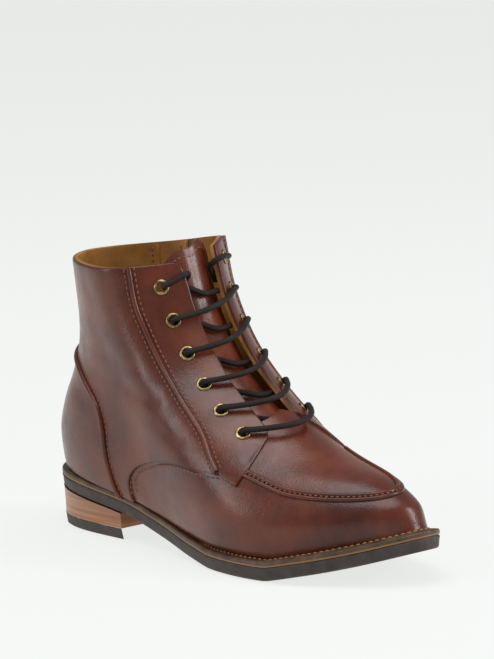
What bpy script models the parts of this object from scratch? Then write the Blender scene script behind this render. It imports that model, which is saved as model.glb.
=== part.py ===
"""Lace up ankle boot for the right foot, built from its real pieces.

The upper is one function of two numbers: how far round the foot a point lies, and how far up
it lies between the feather edge and the collar. Every leather panel, seam, eyelet and lace
takes its place from that function. X runs to the toe, Y to the inner (medial) side, Z up.
The origin is on the floor under the middle of the heel.
"""
import math
from collections import namedtuple

import bmesh
import bpy
import numpy as np
from mathutils import Matrix, Vector

MM = 0.001
NAME = "lace_up_ankle_boot"

# Driving sizes, in millimetres
LENGTH = 266.0          # outsole from back to toe
BACK_X = -30.0          # back of the outsole
BREAST = 0.26           # where the heel ends, as a share of the length
SWING = 10.0            # how far the toe swings inward
SWING_FROM = 0.45
SOLE_THICK = 6.9
WELT_THICK = 3.2
WELT_WIDTH = 9.0
LIFT_THICK = 5.9
HEEL_TAPER = 1.2
INSOLE_THICK = 3.0
INSOLE_INSET = 10.5
WALL = 1.8              # upper with its lining
PANEL = 1.1             # leather laid over the upper
GAP = 0.4               # between pieces that curve together
TONGUE_THICK = 2.4
TONGUE_DEPTH = 4.3      # under the facings, with room for the lace
FOOT_GAP = 0.7          # upper's edge above the welt
CORD_LIFT = 0.55        # under a corded seam
PIPE_RADIUS = 1.0
PIPE_ROOM = 1.8         # from a seam's line to the panel beside it
RIDGE_RADIUS = 1.5
LACE_RADIUS = 1.5
LACE_ROOM = 0.4         # between a lace and the eyelet's rim
EYELET_HOLE = 2.3
EYELET_BARREL = 2.8
EYELET_RIM = 4.0
EYELET_RIM_THICK = 0.5
EYELET_LIFT = 0.55      # rim above the flat facets of the facing
ZIP_SLOT = 9.0
ZIP_TAPE = 8.0

# Mesh steps; panels share the upper's own, so that their facets lie parallel
TURN_STEPS = 40
RISE_STEPS = 14
SOLE_STEPS = 26
EYELET_STEPS = 8
LACE_POINTS = 9
END_RISE = 0.03         # how far each lace end climbs from its eyelet to the facing's edge

# The tread lies flat on the floor where its height would be below zero
Sole = namedtuple("Sole", "along lateral medial tread")
SOLE = (
    Sole(0.00, 60.0, 60.0, 21.5),
    Sole(0.06, 50.5, 50.5, 20.0),
    Sole(0.17, 38.5, 39.5, 17.0),
    Sole(0.28, 32.0, 31.5, 13.3),
    Sole(0.40, 31.5, 27.0, 6.7),
    Sole(0.52, 38.0, 31.0, 1.8),
    Sole(0.62, 45.5, 41.0, -0.6),
    Sole(0.72, 50.5, 48.0, -1.0),
    Sole(0.82, 51.5, 49.0, 4.0),
    Sole(0.92, 48.5, 46.5, 10.5),
    Sole(1.00, 43.0, 43.0, 17.0),
)

# One row for each level of the last. Back and front give the ring's two ends, the sags how far
# it dips at the waist and the ball, and the four widths of each side run from heel to toe.
Ring = namedtuple("Ring", "back_x back_z front_x front_z waist_sag ball_sag "
                          "lat_heel lat_waist lat_ball lat_toe "
                          "med_heel med_waist med_ball med_toe swing drop lift")
RINGS = (
    Ring(-28, 32, 230, 27, 0.0, -17.5, 45, 29.5, 46, 38, 46, 25, 43, 38, 10, 0, 0),
    Ring(-30, 52, 224, 39, -1.5, -14.5, 48, 34.0, 49, 42, 50, 29, 46, 41, 8, 0, 0),
    Ring(-25, 69, 205, 49, -1.0, -11.0, 46, 35.0, 47, 38, 49, 31, 45, 38, 6.5, 0, 0),
    Ring(-18, 84, 174, 57, -1.0, -5.0, 40, 35.0, 43, 33, 44, 33, 42, 33, 4.5, 0, 0),
    Ring(-12, 100, 142, 73, 0.0, -3.0, 35, 34.0, 39, 29, 40, 34, 38, 29, 2.5, 0, 1),
    Ring(-9, 116, 111, 94, 0.5, -1.5, 33, 33.5, 37, 27, 36, 35, 36, 27, 1.5, 1, 3),
    Ring(-8, 132, 90, 120, 1.0, 0.0, 33, 34.0, 37, 27, 35, 36, 36, 27, 0.5, 2, 5),
    Ring(-7, 148, 79, 149, 1.0, 0.0, 34, 36.0, 38, 28, 35, 37, 37, 28, 0.0, 3, 7),
)
WIDTHS_AT = (0.0, 0.38, 0.75, 1.0)
PANEL_FOOT = 0.014      # rise at which the panels begin, clear of the welt
SEAT_BAND = 0.14        # share of the rise in which the feather edge settles on the welt

# Seams: degrees round from the toe, and rise from feather edge to collar
Seam = namedtuple("Seam", "turn rise")
COUNTER_SEAM = (Seam(180, .545), Seam(165, .535), Seam(150, .515), Seam(137, .49),
                Seam(123, .42), Seam(119, .33), Seam(118.5, .20), Seam(118, .09), Seam(117, 0))
STRIP_SEAM = (Seam(56.5, 1), Seam(58, .9), Seam(57.5, .8), Seam(57.5, .7), Seam(58.5, .6),
              Seam(58.5, .5), Seam(61.5, .4), Seam(62.5, .36))
ARCH_EDGE = (Seam(59.5, .3), Seam(68.5, .342), Seam(79.5, .337), Seam(90, .299),
             Seam(100, .233), Seam(106, .178), Seam(110.5, .11), Seam(111.5, .04))
TAB_EDGE = (Seam(56.5, .326), Seam(47, .405), Seam(40, .453), Seam(32, .496), Seam(26, .528))
APRON_SEAM = (Seam(-50, .336), Seam(-48, .314), Seam(-45.5, .289), Seam(-41.5, .27),
              Seam(-34.5, .249), Seam(-27, .231), Seam(-15, .212), Seam(-5, .208),
              Seam(3, .212), Seam(12, .228), Seam(21, .255), Seam(29, .29),
              Seam(36, .335), Seam(40, .368), Seam(43, .395))
# The gap between the facings, seen from the front: Y at height Z
FACING_GAP = ((-16, 156), (-13, 147), (-9.5, 140), (-8.8, 120), (-8.6, 100), (-9.8, 84),
              (-11.5, 69), (-11.5, 50), (9, 50), (9, 69), (12, 84), (12.3, 120), (12.3, 172))
THROAT_FLOOR = 75.0
THROAT_FROM_X = 40.0

Eyelet = namedtuple("Eyelet", "rise lateral_turn medial_rise medial_turn")
EYELETS = (
    Eyelet(.940, -39.5, .955, 38),
    Eyelet(.850, -38.5, .875, 38),
    Eyelet(.760, -39.5, .793, 38),
    Eyelet(.670, -41.0, .706, 38),
    Eyelet(.588, -42.5, .626, 37),
    Eyelet(.514, -40.5, .548, 36),
)

# Zip on the inner side: X and Z of its centre line at the collar and near the sole
ZIP_TOP = (29.5, 150.0)
ZIP_FOOT = (46.0, 40.0)
ZIP_NOTCH = 3.0
SLIDER_DROP = 11.0      # from the collar to the slider's middle
SLIDER_SIZE = (7.0, 9.0, 1.8)
LUG_WIDTH, LUG_LENGTH = 1.3, 3.0
PIN_LIFT = 2.1          # pin above the slider's face
PIN_RADIUS = 0.7
TAB_HOLE = 0.95
TAB_EYE = 1.75
TAB_SIZE = (3.4, 24.0, 1.3)


def clean_file():
    for thing in list(bpy.data.objects):
        bpy.data.objects.remove(thing, do_unlink=True)


def collection(name):
    group = bpy.data.collections.new(name)
    bpy.context.scene.collection.children.link(group)
    return group


def material(name, colour, roughness, metallic=0.0):
    made = bpy.data.materials.new(name)
    made.use_nodes = True
    shader = made.node_tree.nodes["Principled BSDF"]
    linear = [(c / 255 / 12.92) if c < 11 else ((c / 255 + 0.055) / 1.055) ** 2.4 for c in colour]
    shader.inputs["Base Color"].default_value = (*linear, 1)
    shader.inputs["Roughness"].default_value = roughness
    shader.inputs["Metallic"].default_value = metallic
    made.diffuse_color = (*linear, 1)
    return made


def blend(stations, values, at):
    """Smooth curve through a short table: cubic pieces with averaged slopes."""
    xs = np.asarray(stations, float)
    ys = [np.asarray(v, float) for v in values]
    at = np.asarray(at, float)
    spans = np.diff(xs)
    rises = [(ys[i + 1] - ys[i]) / spans[i] for i in range(len(spans))]
    slopes = [rises[0]]
    for i in range(1, len(spans)):
        before, after = spans[i - 1], spans[i]
        slopes.append((rises[i - 1] * after + rises[i] * before) / (before + after))
    slopes.append(rises[-1])
    piece = np.clip(np.searchsorted(xs, at, side="right") - 1, 0, len(spans) - 1)
    result = 0.0
    for i, span in enumerate(spans):
        t = (at - xs[i]) / span
        curve = ((2 * t**3 - 3 * t**2 + 1) * ys[i] + (t**3 - 2 * t**2 + t) * span * slopes[i]
                 + (3 * t**2 - 2 * t**3) * ys[i + 1] + (t**3 - t**2) * span * slopes[i + 1])
        result = np.where(piece == i, curve, result)
    return result


# Sole
def sole_column(column, along):
    return blend([row.along for row in SOLE], [getattr(row, column) for row in SOLE], along)


def tread(along):
    """Height of the outsole's underside."""
    return np.maximum(sole_column("tread", np.clip(along, 0, 1)), 0.0)


def sole_edge(along, side, inset=0.0):
    """X and Y of the sole's outline; side is -1 for lateral and 1 for medial."""
    column = "lateral" if side < 0 else "medial"
    half = sole_column(column, along) * 2 * np.sqrt(np.clip(along * (1 - along), 0, None))
    half = half - inset * np.minimum(1, half / 15)
    centre = SWING * np.clip((along - SWING_FROM) / (1 - SWING_FROM), 0, None) ** 2
    x = BACK_X + inset + (LENGTH - 2 * inset) * along
    return x, centre + side * half


def sole_top_at(x):
    return tread((np.asarray(x, float) - BACK_X) / LENGTH) + SOLE_THICK


# Upper
def ring_value(column, rise):
    stations = np.linspace(0, 1, len(RINGS))
    return blend(stations, [getattr(row, column) for row in RINGS], rise)


def upper_points(turn, rise):
    """Points on the outside of the upper, in millimetres."""
    angle, rise = np.broadcast_arrays(np.radians(np.asarray(turn, float)), np.asarray(rise, float))
    along = (1 + np.cos(angle)) / 2
    row = {name: ring_value(name, rise) for name in Ring._fields}
    x = row["back_x"] + (row["front_x"] - row["back_x"]) * along
    z = row["back_z"] + (row["front_z"] - row["back_z"]) * along
    z = z + 6.75 * (row["waist_sag"] * along * (1 - along) ** 2
                    + row["ball_sag"] * along ** 2 * (1 - along))
    lateral = blend(WIDTHS_AT, [row["lat_heel"], row["lat_waist"], row["lat_ball"], row["lat_toe"]],
                    along)
    medial = blend(WIDTHS_AT, [row["med_heel"], row["med_waist"], row["med_ball"], row["med_toe"]],
                   along)
    inward = np.sin(angle)
    width = np.where(inward >= 0, medial, lateral)
    swing = row["swing"] * np.clip((along - 0.4) / 0.6, 0, None) ** 2
    z = z - row["drop"] * np.clip(-inward, 0, None) ** 2
    z = z + 2 * row["lift"] * np.clip(inward, 0, None) * along ** 2
    seat = np.clip(1 - rise / SEAT_BAND, 0, 1) ** 2
    z = z + seat * (sole_top_at(x) + WELT_THICK + FOOT_GAP - z)
    return np.stack([x, swing + width * inward, z], -1)


def upper_normals(turn, rise):
    turn, rise = np.broadcast_arrays(np.asarray(turn, float), np.asarray(rise, float))
    step = 0.004
    low = np.clip(rise - step, 0, 1)
    high = np.clip(rise + step, 0, 1)
    round_way = upper_points(turn + 0.3, rise) - upper_points(turn - 0.3, rise)
    up_way = upper_points(turn, high) - upper_points(turn, low)
    normal = np.cross(round_way, up_way)
    return normal / np.linalg.norm(normal, axis=-1, keepdims=True)


def on_upper(turn, rise, out=0.0):
    """Points a given distance out from the upper; a negative distance is inside it."""
    above = np.clip(np.asarray(rise, float) - 1, 0, None)
    top = upper_points(turn, np.minimum(rise, 1.0))
    slope = (top - upper_points(turn, 0.97)) / 0.03
    out = np.asarray(out, float)[..., None]
    return top + slope * above[..., None] + upper_normals(turn, np.minimum(rise, 1.0)) * out


def seam_path(seam, side, out=0.0, steps=None):
    """A seam's points on one side of the upper, smoothed when steps are given."""
    turns = np.array([s.turn for s in seam], float)
    rises = np.array([s.rise for s in seam], float)
    if steps:
        marks = np.arange(len(seam))
        fine = np.linspace(0, len(seam) - 1, steps)
        turns = blend(marks, list(turns), fine)
        rises = blend(marks, list(rises), fine)
    return on_upper(side * turns, rises, out)


# Meshes
def add_mesh(name, group, shade, vertices, faces):
    mesh = bpy.data.meshes.new(name)
    mesh.from_pydata([tuple(np.asarray(v) * MM) for v in vertices], [], faces)
    mesh.validate()
    made = bpy.data.objects.new(name, mesh)
    group.objects.link(made)
    if shade:
        mesh.materials.append(shade)
    shaped = bmesh.new()
    shaped.from_mesh(mesh)
    bmesh.ops.recalc_face_normals(shaped, faces=shaped.faces)
    shaped.to_mesh(mesh)
    shaped.free()
    return made


def ring_turns(start, end):
    step = 360 / TURN_STEPS
    return np.arange(start, end + step / 2, step)


def panel_rises():
    rises = np.linspace(0, 1, RISE_STEPS + 1)
    rises[0] = PANEL_FOOT
    return rises


def upper_sheet(name, group, shade, turns, rises, out):
    """Open sheet of the upper's function, faces looking outward."""
    turns = np.asarray(turns, float)
    rises = np.asarray(rises, float)
    closed = abs(turns[-1] - turns[0]) > 359
    columns = turns[:-1] if closed else turns
    grid = on_upper(columns[None, :], rises[:, None], out)
    count = len(columns)
    faces = []
    for r in range(len(rises) - 1):
        for c in range(count if closed else count - 1):
            right = (c + 1) % count
            faces.append((r * count + c, r * count + right,
                          (r + 1) * count + right, (r + 1) * count + c))
    mesh = bpy.data.meshes.new(name)
    mesh.from_pydata([tuple(p * MM) for p in grid.reshape(-1, 3)], [], faces)
    made = bpy.data.objects.new(name, mesh)
    group.objects.link(made)
    mesh.materials.append(shade)
    return made


def solidify(made, thickness, outward):
    layer = made.modifiers.new("thickness", "SOLIDIFY")
    layer.thickness = thickness * MM
    layer.offset = 1 if outward else -1
    layer.use_even_offset = True
    layer.use_quality_normals = True


def boolean(made, cutter, operation="DIFFERENCE"):
    cut = made.modifiers.new(cutter.name, "BOOLEAN")
    cut.operation = operation
    cut.solver = "EXACT"
    cut.object = cutter


def prism(name, group, outline, axis, start, end):
    """Outline of two coordinates, drawn out along X or Y."""
    def place(pair, depth):
        return (depth, pair[0], pair[1]) if axis == "X" else (pair[0], depth, pair[1])
    count = len(outline)
    vertices = [place(p, start) for p in outline] + [place(p, end) for p in outline]
    faces = [tuple(range(count)), tuple(range(2 * count - 1, count - 1, -1))]
    faces += [(i, i + count, (i + 1) % count + count, (i + 1) % count) for i in range(count)]
    made = add_mesh(name, group, None, vertices, faces)
    made.hide_render = True
    made.display_type = "WIRE"
    return made


def slab(name, group, shade, end, low, high, insets):
    """A layer of the sole from the back to a share of its length, between two heights."""
    angles = np.linspace(0, math.acos(1 - 2 * end), SOLE_STEPS + 1)
    marks = (1 - np.cos(angles)) / 2
    vertices, index = [], {}
    for level, (height, inset) in enumerate(((low, insets[0]), (high, insets[1]))):
        for i, mark in enumerate(marks):
            for side in (-1, 1):
                x, y = sole_edge(mark, side, inset)
                meets = mark < 1e-9 or mark > 1 - 1e-9
                if meets and side == 1:
                    index[level, i, 1] = index[level, i, -1]
                    continue
                index[level, i, side] = len(vertices)
                vertices.append((float(x), float(y), float(height(mark))))
    faces = []
    for i in range(len(marks) - 1):
        for level in (0, 1):
            faces.append([index[level, i, -1], index[level, i + 1, -1],
                          index[level, i + 1, 1], index[level, i, 1]])
        for side in (-1, 1):
            faces.append([index[0, i, side], index[0, i + 1, side],
                          index[1, i + 1, side], index[1, i, side]])
    last = len(marks) - 1
    if end < 1:
        faces.append([index[0, last, -1], index[0, last, 1], index[1, last, 1], index[1, last, -1]])
    faces = [tuple(dict.fromkeys(face)) for face in faces]
    return add_mesh(name, group, shade, vertices, faces)


def tube(name, group, shade, points, radius, smooth=True):
    curve = bpy.data.curves.new(name, "CURVE")
    curve.dimensions = "3D"
    curve.bevel_depth = radius * MM
    curve.bevel_resolution = 1
    curve.use_fill_caps = True
    curve.resolution_u = 1
    spline = curve.splines.new("NURBS" if smooth else "POLY")
    spline.points.add(len(points) - 1)
    for point, place in zip(spline.points, points):
        point.co = (*(np.asarray(place) * MM), 1)
    if smooth:
        spline.order_u = 3
        spline.use_endpoint_u = True
    made = bpy.data.objects.new(name, curve)
    group.objects.link(made)
    curve.materials.append(shade)
    return made


def box(name, group, shade, size, place, turn, bevel):
    """Block with rounded edges, standing in its own frame."""
    mesh = bpy.data.meshes.new(name)
    shaped = bmesh.new()
    bmesh.ops.create_cube(shaped, size=1)
    bmesh.ops.scale(shaped, vec=[s * MM for s in size], verts=shaped.verts)
    shaped.to_mesh(mesh)
    shaped.free()
    made = bpy.data.objects.new(name, mesh)
    made.matrix_world = Matrix.Translation(Vector(place) * MM) @ turn.to_4x4()
    group.objects.link(made)
    if shade:
        mesh.materials.append(shade)
    if bevel:
        edge = made.modifiers.new("edges", "BEVEL")
        edge.width = bevel * MM
        edge.segments = 1
    return made


def frame_at(turn, rise, out):
    """A point on the upper with its outward normal, as place and rotation (local Z outward)."""
    place = on_upper(turn, rise, out)
    outward = Vector(upper_normals(turn, rise))
    along = Vector(upper_points(turn + 0.5, rise) - upper_points(turn - 0.5, rise)).normalized()
    across = outward.cross(along).normalized()
    along = across.cross(outward)
    return place, Matrix((along, across, outward)).transposed()


# Pieces
def build_sole(group, cutters, shades):
    def sole_top(mark):
        return tread(mark) + SOLE_THICK

    slab("outsole", group, shades["sole"], 1.0, tread, sole_top, (0.8, 0))
    slab("heel_stack", group, shades["stack"], BREAST, lambda m: LIFT_THICK,
         lambda m: tread(m) - 0.05, (HEEL_TAPER * 0.7, 0.3))
    slab("top_lift", group, shades["sole"], BREAST, lambda m: 0.0,
         lambda m: LIFT_THICK - 0.05, (HEEL_TAPER, HEEL_TAPER * 0.6))
    welt = slab("welt", group, shades["welt"], 1.0, lambda m: sole_top(m) + 0.05,
                lambda m: sole_top(m) + WELT_THICK, (0, 0.3))
    middle = slab("welt_middle", cutters, None, 1.0, lambda m: sole_top(m) - 3,
                  lambda m: sole_top(m) + 8, (WELT_WIDTH, WELT_WIDTH))
    middle.hide_render = True
    middle.display_type = "WIRE"
    boolean(welt, middle)
    slab("insole", group, shades["lining"], 1.0, lambda m: sole_top(m) + WELT_THICK + GAP,
         lambda m: sole_top(m) + WELT_THICK + GAP + INSOLE_THICK, (INSOLE_INSET, INSOLE_INSET))


def side_outline(seam, side, shift=0.0, steps=None):
    """A seam in side view, moved forward and up by the shift, square to its run."""
    points = seam_path(seam, side, GAP + PANEL / 2, steps)[:, [0, 2]]
    run = np.gradient(points, axis=0)
    run /= np.linalg.norm(run, axis=1, keepdims=True)
    return [(x - shift * down, z + shift * ahead) for (x, z), (ahead, down) in zip(points, run)]


def build_upper(group, cutters, shades):
    rises = np.linspace(0, 1, RISE_STEPS + 1)
    upper = upper_sheet("upper", group, shades["leather"], ring_turns(-180, 180), rises, 0.0)
    solidify(upper, WALL, outward=False)
    floor = [(y, z) for y, z in FACING_GAP if z > THROAT_FLOOR]
    throat = prism("throat", cutters, floor[:6] + [(-10, THROAT_FLOOR), (11, THROAT_FLOOR)]
                   + floor[6:], "X", THROAT_FROM_X, LENGTH)
    boolean(upper, throat)
    gap = prism("facing_gap", cutters, FACING_GAP, "X", THROAT_FROM_X, LENGTH)
    return upper, gap


def zip_outline(width, top, foot):
    """Sloping strip of the zip in side view."""
    (top_x, top_z), (foot_x, foot_z) = ZIP_TOP, ZIP_FOOT
    lean = (top_x - foot_x) / (top_z - foot_z)
    high, low = top_z + top, foot_z + foot
    return [(foot_x + (low - foot_z) * lean - width / 2, low),
            (foot_x + (low - foot_z) * lean + width / 2, low),
            (foot_x + (high - foot_z) * lean + width / 2, high),
            (foot_x + (high - foot_z) * lean - width / 2, high)]


def build_panels(group, cutters, shades, gap):
    far = 120.0
    rises = panel_rises()
    quarter, stay = {}, {}
    for side, word in ((-1, "lateral"), (1, "medial")):
        deep = (side * 0.2, side * far)
        arch = side_outline(ARCH_EDGE, side, 0, 18)
        counter = side_outline(COUNTER_SEAM, side, PIPE_ROOM, 18)[::-1]
        behind = side_outline(STRIP_SEAM, side, -PIPE_ROOM, 16)
        ahead = side_outline(STRIP_SEAM, side, PIPE_ROOM, 16)
        outline = [(behind[0][0], 175)] + behind
        outline += [(x, z) for x, z in arch if x < behind[-1][0] - 1]
        outline += [(arch[-1][0], 5), (counter[0][0], 5)] + counter
        outline += [(-60, counter[-1][1]), (-60, 175)]
        cutter = prism("quarter_cut_" + word, cutters, outline, "Y", *deep)
        turns = ring_turns(45, 180) if side > 0 else ring_turns(-180, -45)
        panel = upper_sheet("quarter_" + word, group, shades["leather"], turns, rises, GAP)
        solidify(panel, PANEL, outward=True)
        boolean(panel, cutter, "INTERSECT")
        quarter[word] = panel

        tab = side_outline(TAB_EDGE, side, 0, 10)
        front = [(ahead[0][0], 175)] + ahead
        front += [(x, z) for x, z in arch[:1]] + tab + [(160, tab[-1][1] + 6), (160, 175)]
        cutter = prism("eyestay_cut_" + word, cutters, front, "Y", *deep)
        turns = ring_turns(0, 72) if side > 0 else ring_turns(-72, 0)
        panel = upper_sheet("eyestay_" + word, group, shades["leather"], turns, rises[4:], GAP)
        solidify(panel, PANEL, outward=True)
        boolean(panel, cutter, "INTERSECT")
        boolean(panel, gap)
        stay[word] = panel
        tube("strip_piping_" + word, group, shades["leather"],
             seam_path(STRIP_SEAM[:-1], side, CORD_LIFT + PIPE_RADIUS, 12), PIPE_RADIUS)

    lateral = side_outline(COUNTER_SEAM, -1, -PIPE_ROOM, 18)
    outline = [(-60, lateral[0][1])] + lateral + [(lateral[-1][0], 5), (-60, 5)]
    cutter = prism("counter_cut", cutters, outline, "Y", -far, far)
    counter = upper_sheet("heel_counter", group, shades["leather"], ring_turns(108, 252),
                          rises[:10], GAP)
    solidify(counter, PANEL, outward=True)
    boolean(counter, cutter, "INTERSECT")
    medial_way = list(seam_path(COUNTER_SEAM, 1, CORD_LIFT + PIPE_RADIUS, 14))[::-1]
    lateral_way = list(seam_path(COUNTER_SEAM, -1, CORD_LIFT + PIPE_RADIUS, 14))[1:]
    tube("counter_piping", group, shades["leather"], medial_way[1:] + lateral_way[:-1], PIPE_RADIUS)

    tube("apron_seam", group, shades["leather"],
         seam_path(APRON_SEAM, 1, CORD_LIFT + RIDGE_RADIUS, 26), RIDGE_RADIUS)
    slot = prism("zip_slot", cutters, zip_outline(ZIP_SLOT, 25, 0), "Y", 1.0, far)
    boolean(quarter["medial"], slot)
    return quarter, stay


def build_zip(group, cutters, shades, upper):
    tape_cut = prism("zip_tape_cut", cutters, zip_outline(ZIP_TAPE, 25, 0.8), "Y", 1.0, 120.0)
    notch = prism("zip_notch", cutters, zip_outline(ZIP_TAPE - 1, 25, ZIP_TOP[1] - ZIP_FOOT[1]
                  - ZIP_NOTCH), "Y", 1.0, 120.0)
    boolean(upper, notch)
    tape = upper_sheet("zip_tape", group, shades["tape"], ring_turns(63, 117),
                       panel_rises(), GAP)
    solidify(tape, PANEL, outward=True)
    boolean(tape, tape_cut, "INTERSECT")

    turn, rise = slider_seat()
    place, facing = frame_at(turn, rise, GAP + PANEL + 0.25 + SLIDER_SIZE[2] / 2)
    slider = box("zip_slider", group, shades["brass"], SLIDER_SIZE, place, facing, 0.4)
    pin_place, _ = frame_at(turn, rise, pin_height())
    half = TAB_SIZE[0] / 2 + 0.3 + LUG_WIDTH / 2
    tall = PIN_LIFT + 1.6
    for shift in (-half, half):
        reach = Vector(facing.col[0]) * shift
        middle, _ = frame_at(turn, rise, pin_height() + 1.1 - tall / 2)
        lug = box("lug_form", cutters, None, (LUG_WIDTH, LUG_LENGTH, tall),
                  Vector(middle) + reach, facing, 0)
        lug.hide_render = True
        lug.display_type = "WIRE"
        boolean(slider, lug, "UNION")
    pin = cylinder("pin_form", cutters, PIN_RADIUS, 2 * half, pin_place, facing)
    boolean(slider, pin, "UNION")

    width, length, thick = TAB_SIZE
    facing = hanging(facing)
    hang = box("zip_pull", group, shades["brass"], (width, length, thick),
               pin_place, facing, 0)
    for vertex in hang.data.vertices:
        vertex.co.y -= (length / 2 - 0.5) * MM
    eye = cylinder("pull_eye", cutters, TAB_EYE, width, pin_place, facing)
    boolean(hang, eye, "UNION")
    hole = cylinder("pull_hole", cutters, TAB_HOLE, width * 2, pin_place, facing)
    boolean(hang, hole)
    return slider, hang


def slider_seat():
    """Turn and rise of the slider's middle, by stepping along the collar ring and down."""
    rise = 1 - SLIDER_DROP / (RINGS[-1].back_z - RINGS[-2].back_z) / (len(RINGS) - 1)
    lean = (ZIP_TOP[0] - ZIP_FOOT[0]) / (ZIP_TOP[1] - ZIP_FOOT[1])
    target = ZIP_TOP[0] - SLIDER_DROP * lean
    turns = np.linspace(70, 130, 601)
    xs = upper_points(turns, rise)[:, 0]
    return float(turns[np.argmin(np.abs(xs - target))]), rise


def hanging(facing):
    """The slider's frame, turned about the pin until its second axis points straight up."""
    along = facing.col[0]
    outward = along.cross(Vector((0, 0, 1))).normalized()
    return Matrix((along, outward.cross(along), outward)).transposed()


def pin_height():
    return GAP + PANEL + 0.25 + SLIDER_SIZE[2] + PIN_LIFT


def cylinder(name, group, radius, length, place, facing):
    """Rod along the frame's first axis."""
    mesh = bpy.data.meshes.new(name)
    shaped = bmesh.new()
    bmesh.ops.create_cone(shaped, cap_ends=True, segments=12, radius1=radius * MM,
                          radius2=radius * MM, depth=length * MM)
    shaped.to_mesh(mesh)
    shaped.free()
    made = bpy.data.objects.new(name, mesh)
    lay_down = Matrix.Rotation(math.radians(90), 4, "Y")
    made.matrix_world = Matrix.Translation(Vector(place) * MM) @ facing.to_4x4() @ lay_down
    group.objects.link(made)
    made.hide_render = True
    made.display_type = "WIRE"
    return made


def eyelet_seats():
    for number, row in enumerate(EYELETS, start=1):
        yield f"eyelet_lateral_{number}", row.lateral_turn, row.rise
        yield f"eyelet_medial_{number}", row.medial_turn, row.medial_rise


def build_eyelets(group, cutters, shades, walls):
    face = GAP + PANEL
    top = face + EYELET_LIFT + EYELET_RIM_THICK
    profile = ((EYELET_HOLE, -WALL - 0.6), (EYELET_BARREL, -WALL - 0.6),
               (EYELET_BARREL, face + EYELET_LIFT), (EYELET_RIM, face + EYELET_LIFT),
               (EYELET_RIM - 0.3, top), (EYELET_HOLE, top))
    for name, turn, rise in eyelet_seats():
        place, facing = frame_at(turn, rise, 0.0)
        seat = Matrix.Translation(Vector(place) * MM) @ facing.to_4x4()
        count = len(profile)
        mesh = bpy.data.meshes.new(name)
        mesh.from_pydata([(r * MM, 0, z * MM) for r, z in profile],
                         [(i, (i + 1) % count) for i in range(count)], [])
        ring = bpy.data.objects.new(name, mesh)
        ring.matrix_world = seat
        group.objects.link(ring)
        mesh.materials.append(shades["brass"])
        spin = ring.modifiers.new("ring", "SCREW")
        spin.steps = EYELET_STEPS
        spin.render_steps = EYELET_STEPS
        spin.use_merge_vertices = True
        spin.merge_threshold = 0.00005
        spin.use_normal_calculate = True
        spin.use_normal_flip = True

        punch_mesh = bpy.data.meshes.new("punch_" + name)
        shaped = bmesh.new()
        bmesh.ops.create_cone(shaped, cap_ends=True, segments=EYELET_STEPS,
                              radius1=(EYELET_BARREL + 0.3) * MM,
                              radius2=(EYELET_BARREL + 0.3) * MM, depth=12 * MM)
        shaped.to_mesh(punch_mesh)
        shaped.free()
        punch = bpy.data.objects.new("punch_" + name, punch_mesh)
        punch.matrix_world = seat
        cutters.objects.link(punch)
        punch.hide_render = True
        punch.display_type = "WIRE"
        for wall in walls["lateral" if turn < 0 else "medial"]:
            boolean(wall, punch)


def build_tongue(group, shades):
    """Leather tongue under the facings, deeper than them where the lace runs between."""
    rises = np.linspace(0, 1, 12)
    across = np.linspace(-1, 1, 9)
    grid = []
    for up in rises:
        base = 0.50 + 0.55 * up
        half_lateral = 20 + 19 * min(1, up * 1.5)
        half_medial = 20 + 17 * min(1, up * 1.5)
        depth = WALL + GAP + TONGUE_DEPTH * min(1, max(0.03, up * 9 - 0.2))
        turns = np.where(across < 0, across * half_lateral, across * half_medial)
        arch = base - 0.055 * across ** 2 * up ** 2
        grid.append(on_upper(turns, arch, -depth))
    grid = np.array(grid)
    count = len(across)
    faces = [(r * count + c, r * count + c + 1, (r + 1) * count + c + 1, (r + 1) * count + c)
             for r in range(len(rises) - 1) for c in range(count - 1)]
    mesh = bpy.data.meshes.new("tongue")
    mesh.from_pydata([tuple(p * MM) for p in grid.reshape(-1, 3)], [], faces)
    tongue = bpy.data.objects.new("tongue", mesh)
    group.objects.link(tongue)
    mesh.materials.append(shades["leather"])
    solidify(tongue, TONGUE_THICK, outward=False)


def build_laces(group, shades):
    """Straight bars over the facings, slanted runs under them, and two tucked ends."""
    over = GAP + PANEL + EYELET_LIFT + EYELET_RIM_THICK + LACE_ROOM + LACE_RADIUS
    under = -WALL - 0.25 - LACE_RADIUS
    for number, row in enumerate(EYELETS, start=1):
        if number > 1:
            turns = np.linspace(row.lateral_turn, row.medial_turn, LACE_POINTS)
            rises = np.linspace(row.rise, row.medial_rise, LACE_POINTS)
            tube(f"lace_bar_{number}", group, shades["lace"],
                 on_upper(turns, rises, over), LACE_RADIUS)
        if number < len(EYELETS):
            below = EYELETS[number]
            turns = np.linspace(row.lateral_turn + 9, below.medial_turn - 9, LACE_POINTS)
            rises = np.linspace(row.rise + 0.01, below.medial_rise + 0.01, LACE_POINTS)
            tube(f"lace_cross_{number}", group, shades["lace"],
                 on_upper(turns, rises, under), LACE_RADIUS)
    first = EYELETS[0]
    for word, start, rise, edge in (("lateral", first.lateral_turn, first.rise, -17),
                                    ("medial", first.medial_turn, first.medial_rise, 22)):
        turns = np.linspace(start, edge, LACE_POINTS)
        rises = np.linspace(rise, rise + END_RISE, LACE_POINTS)
        tube("lace_end_" + word, group, shades["lace"],
             on_upper(turns, rises, over), LACE_RADIUS)


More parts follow.
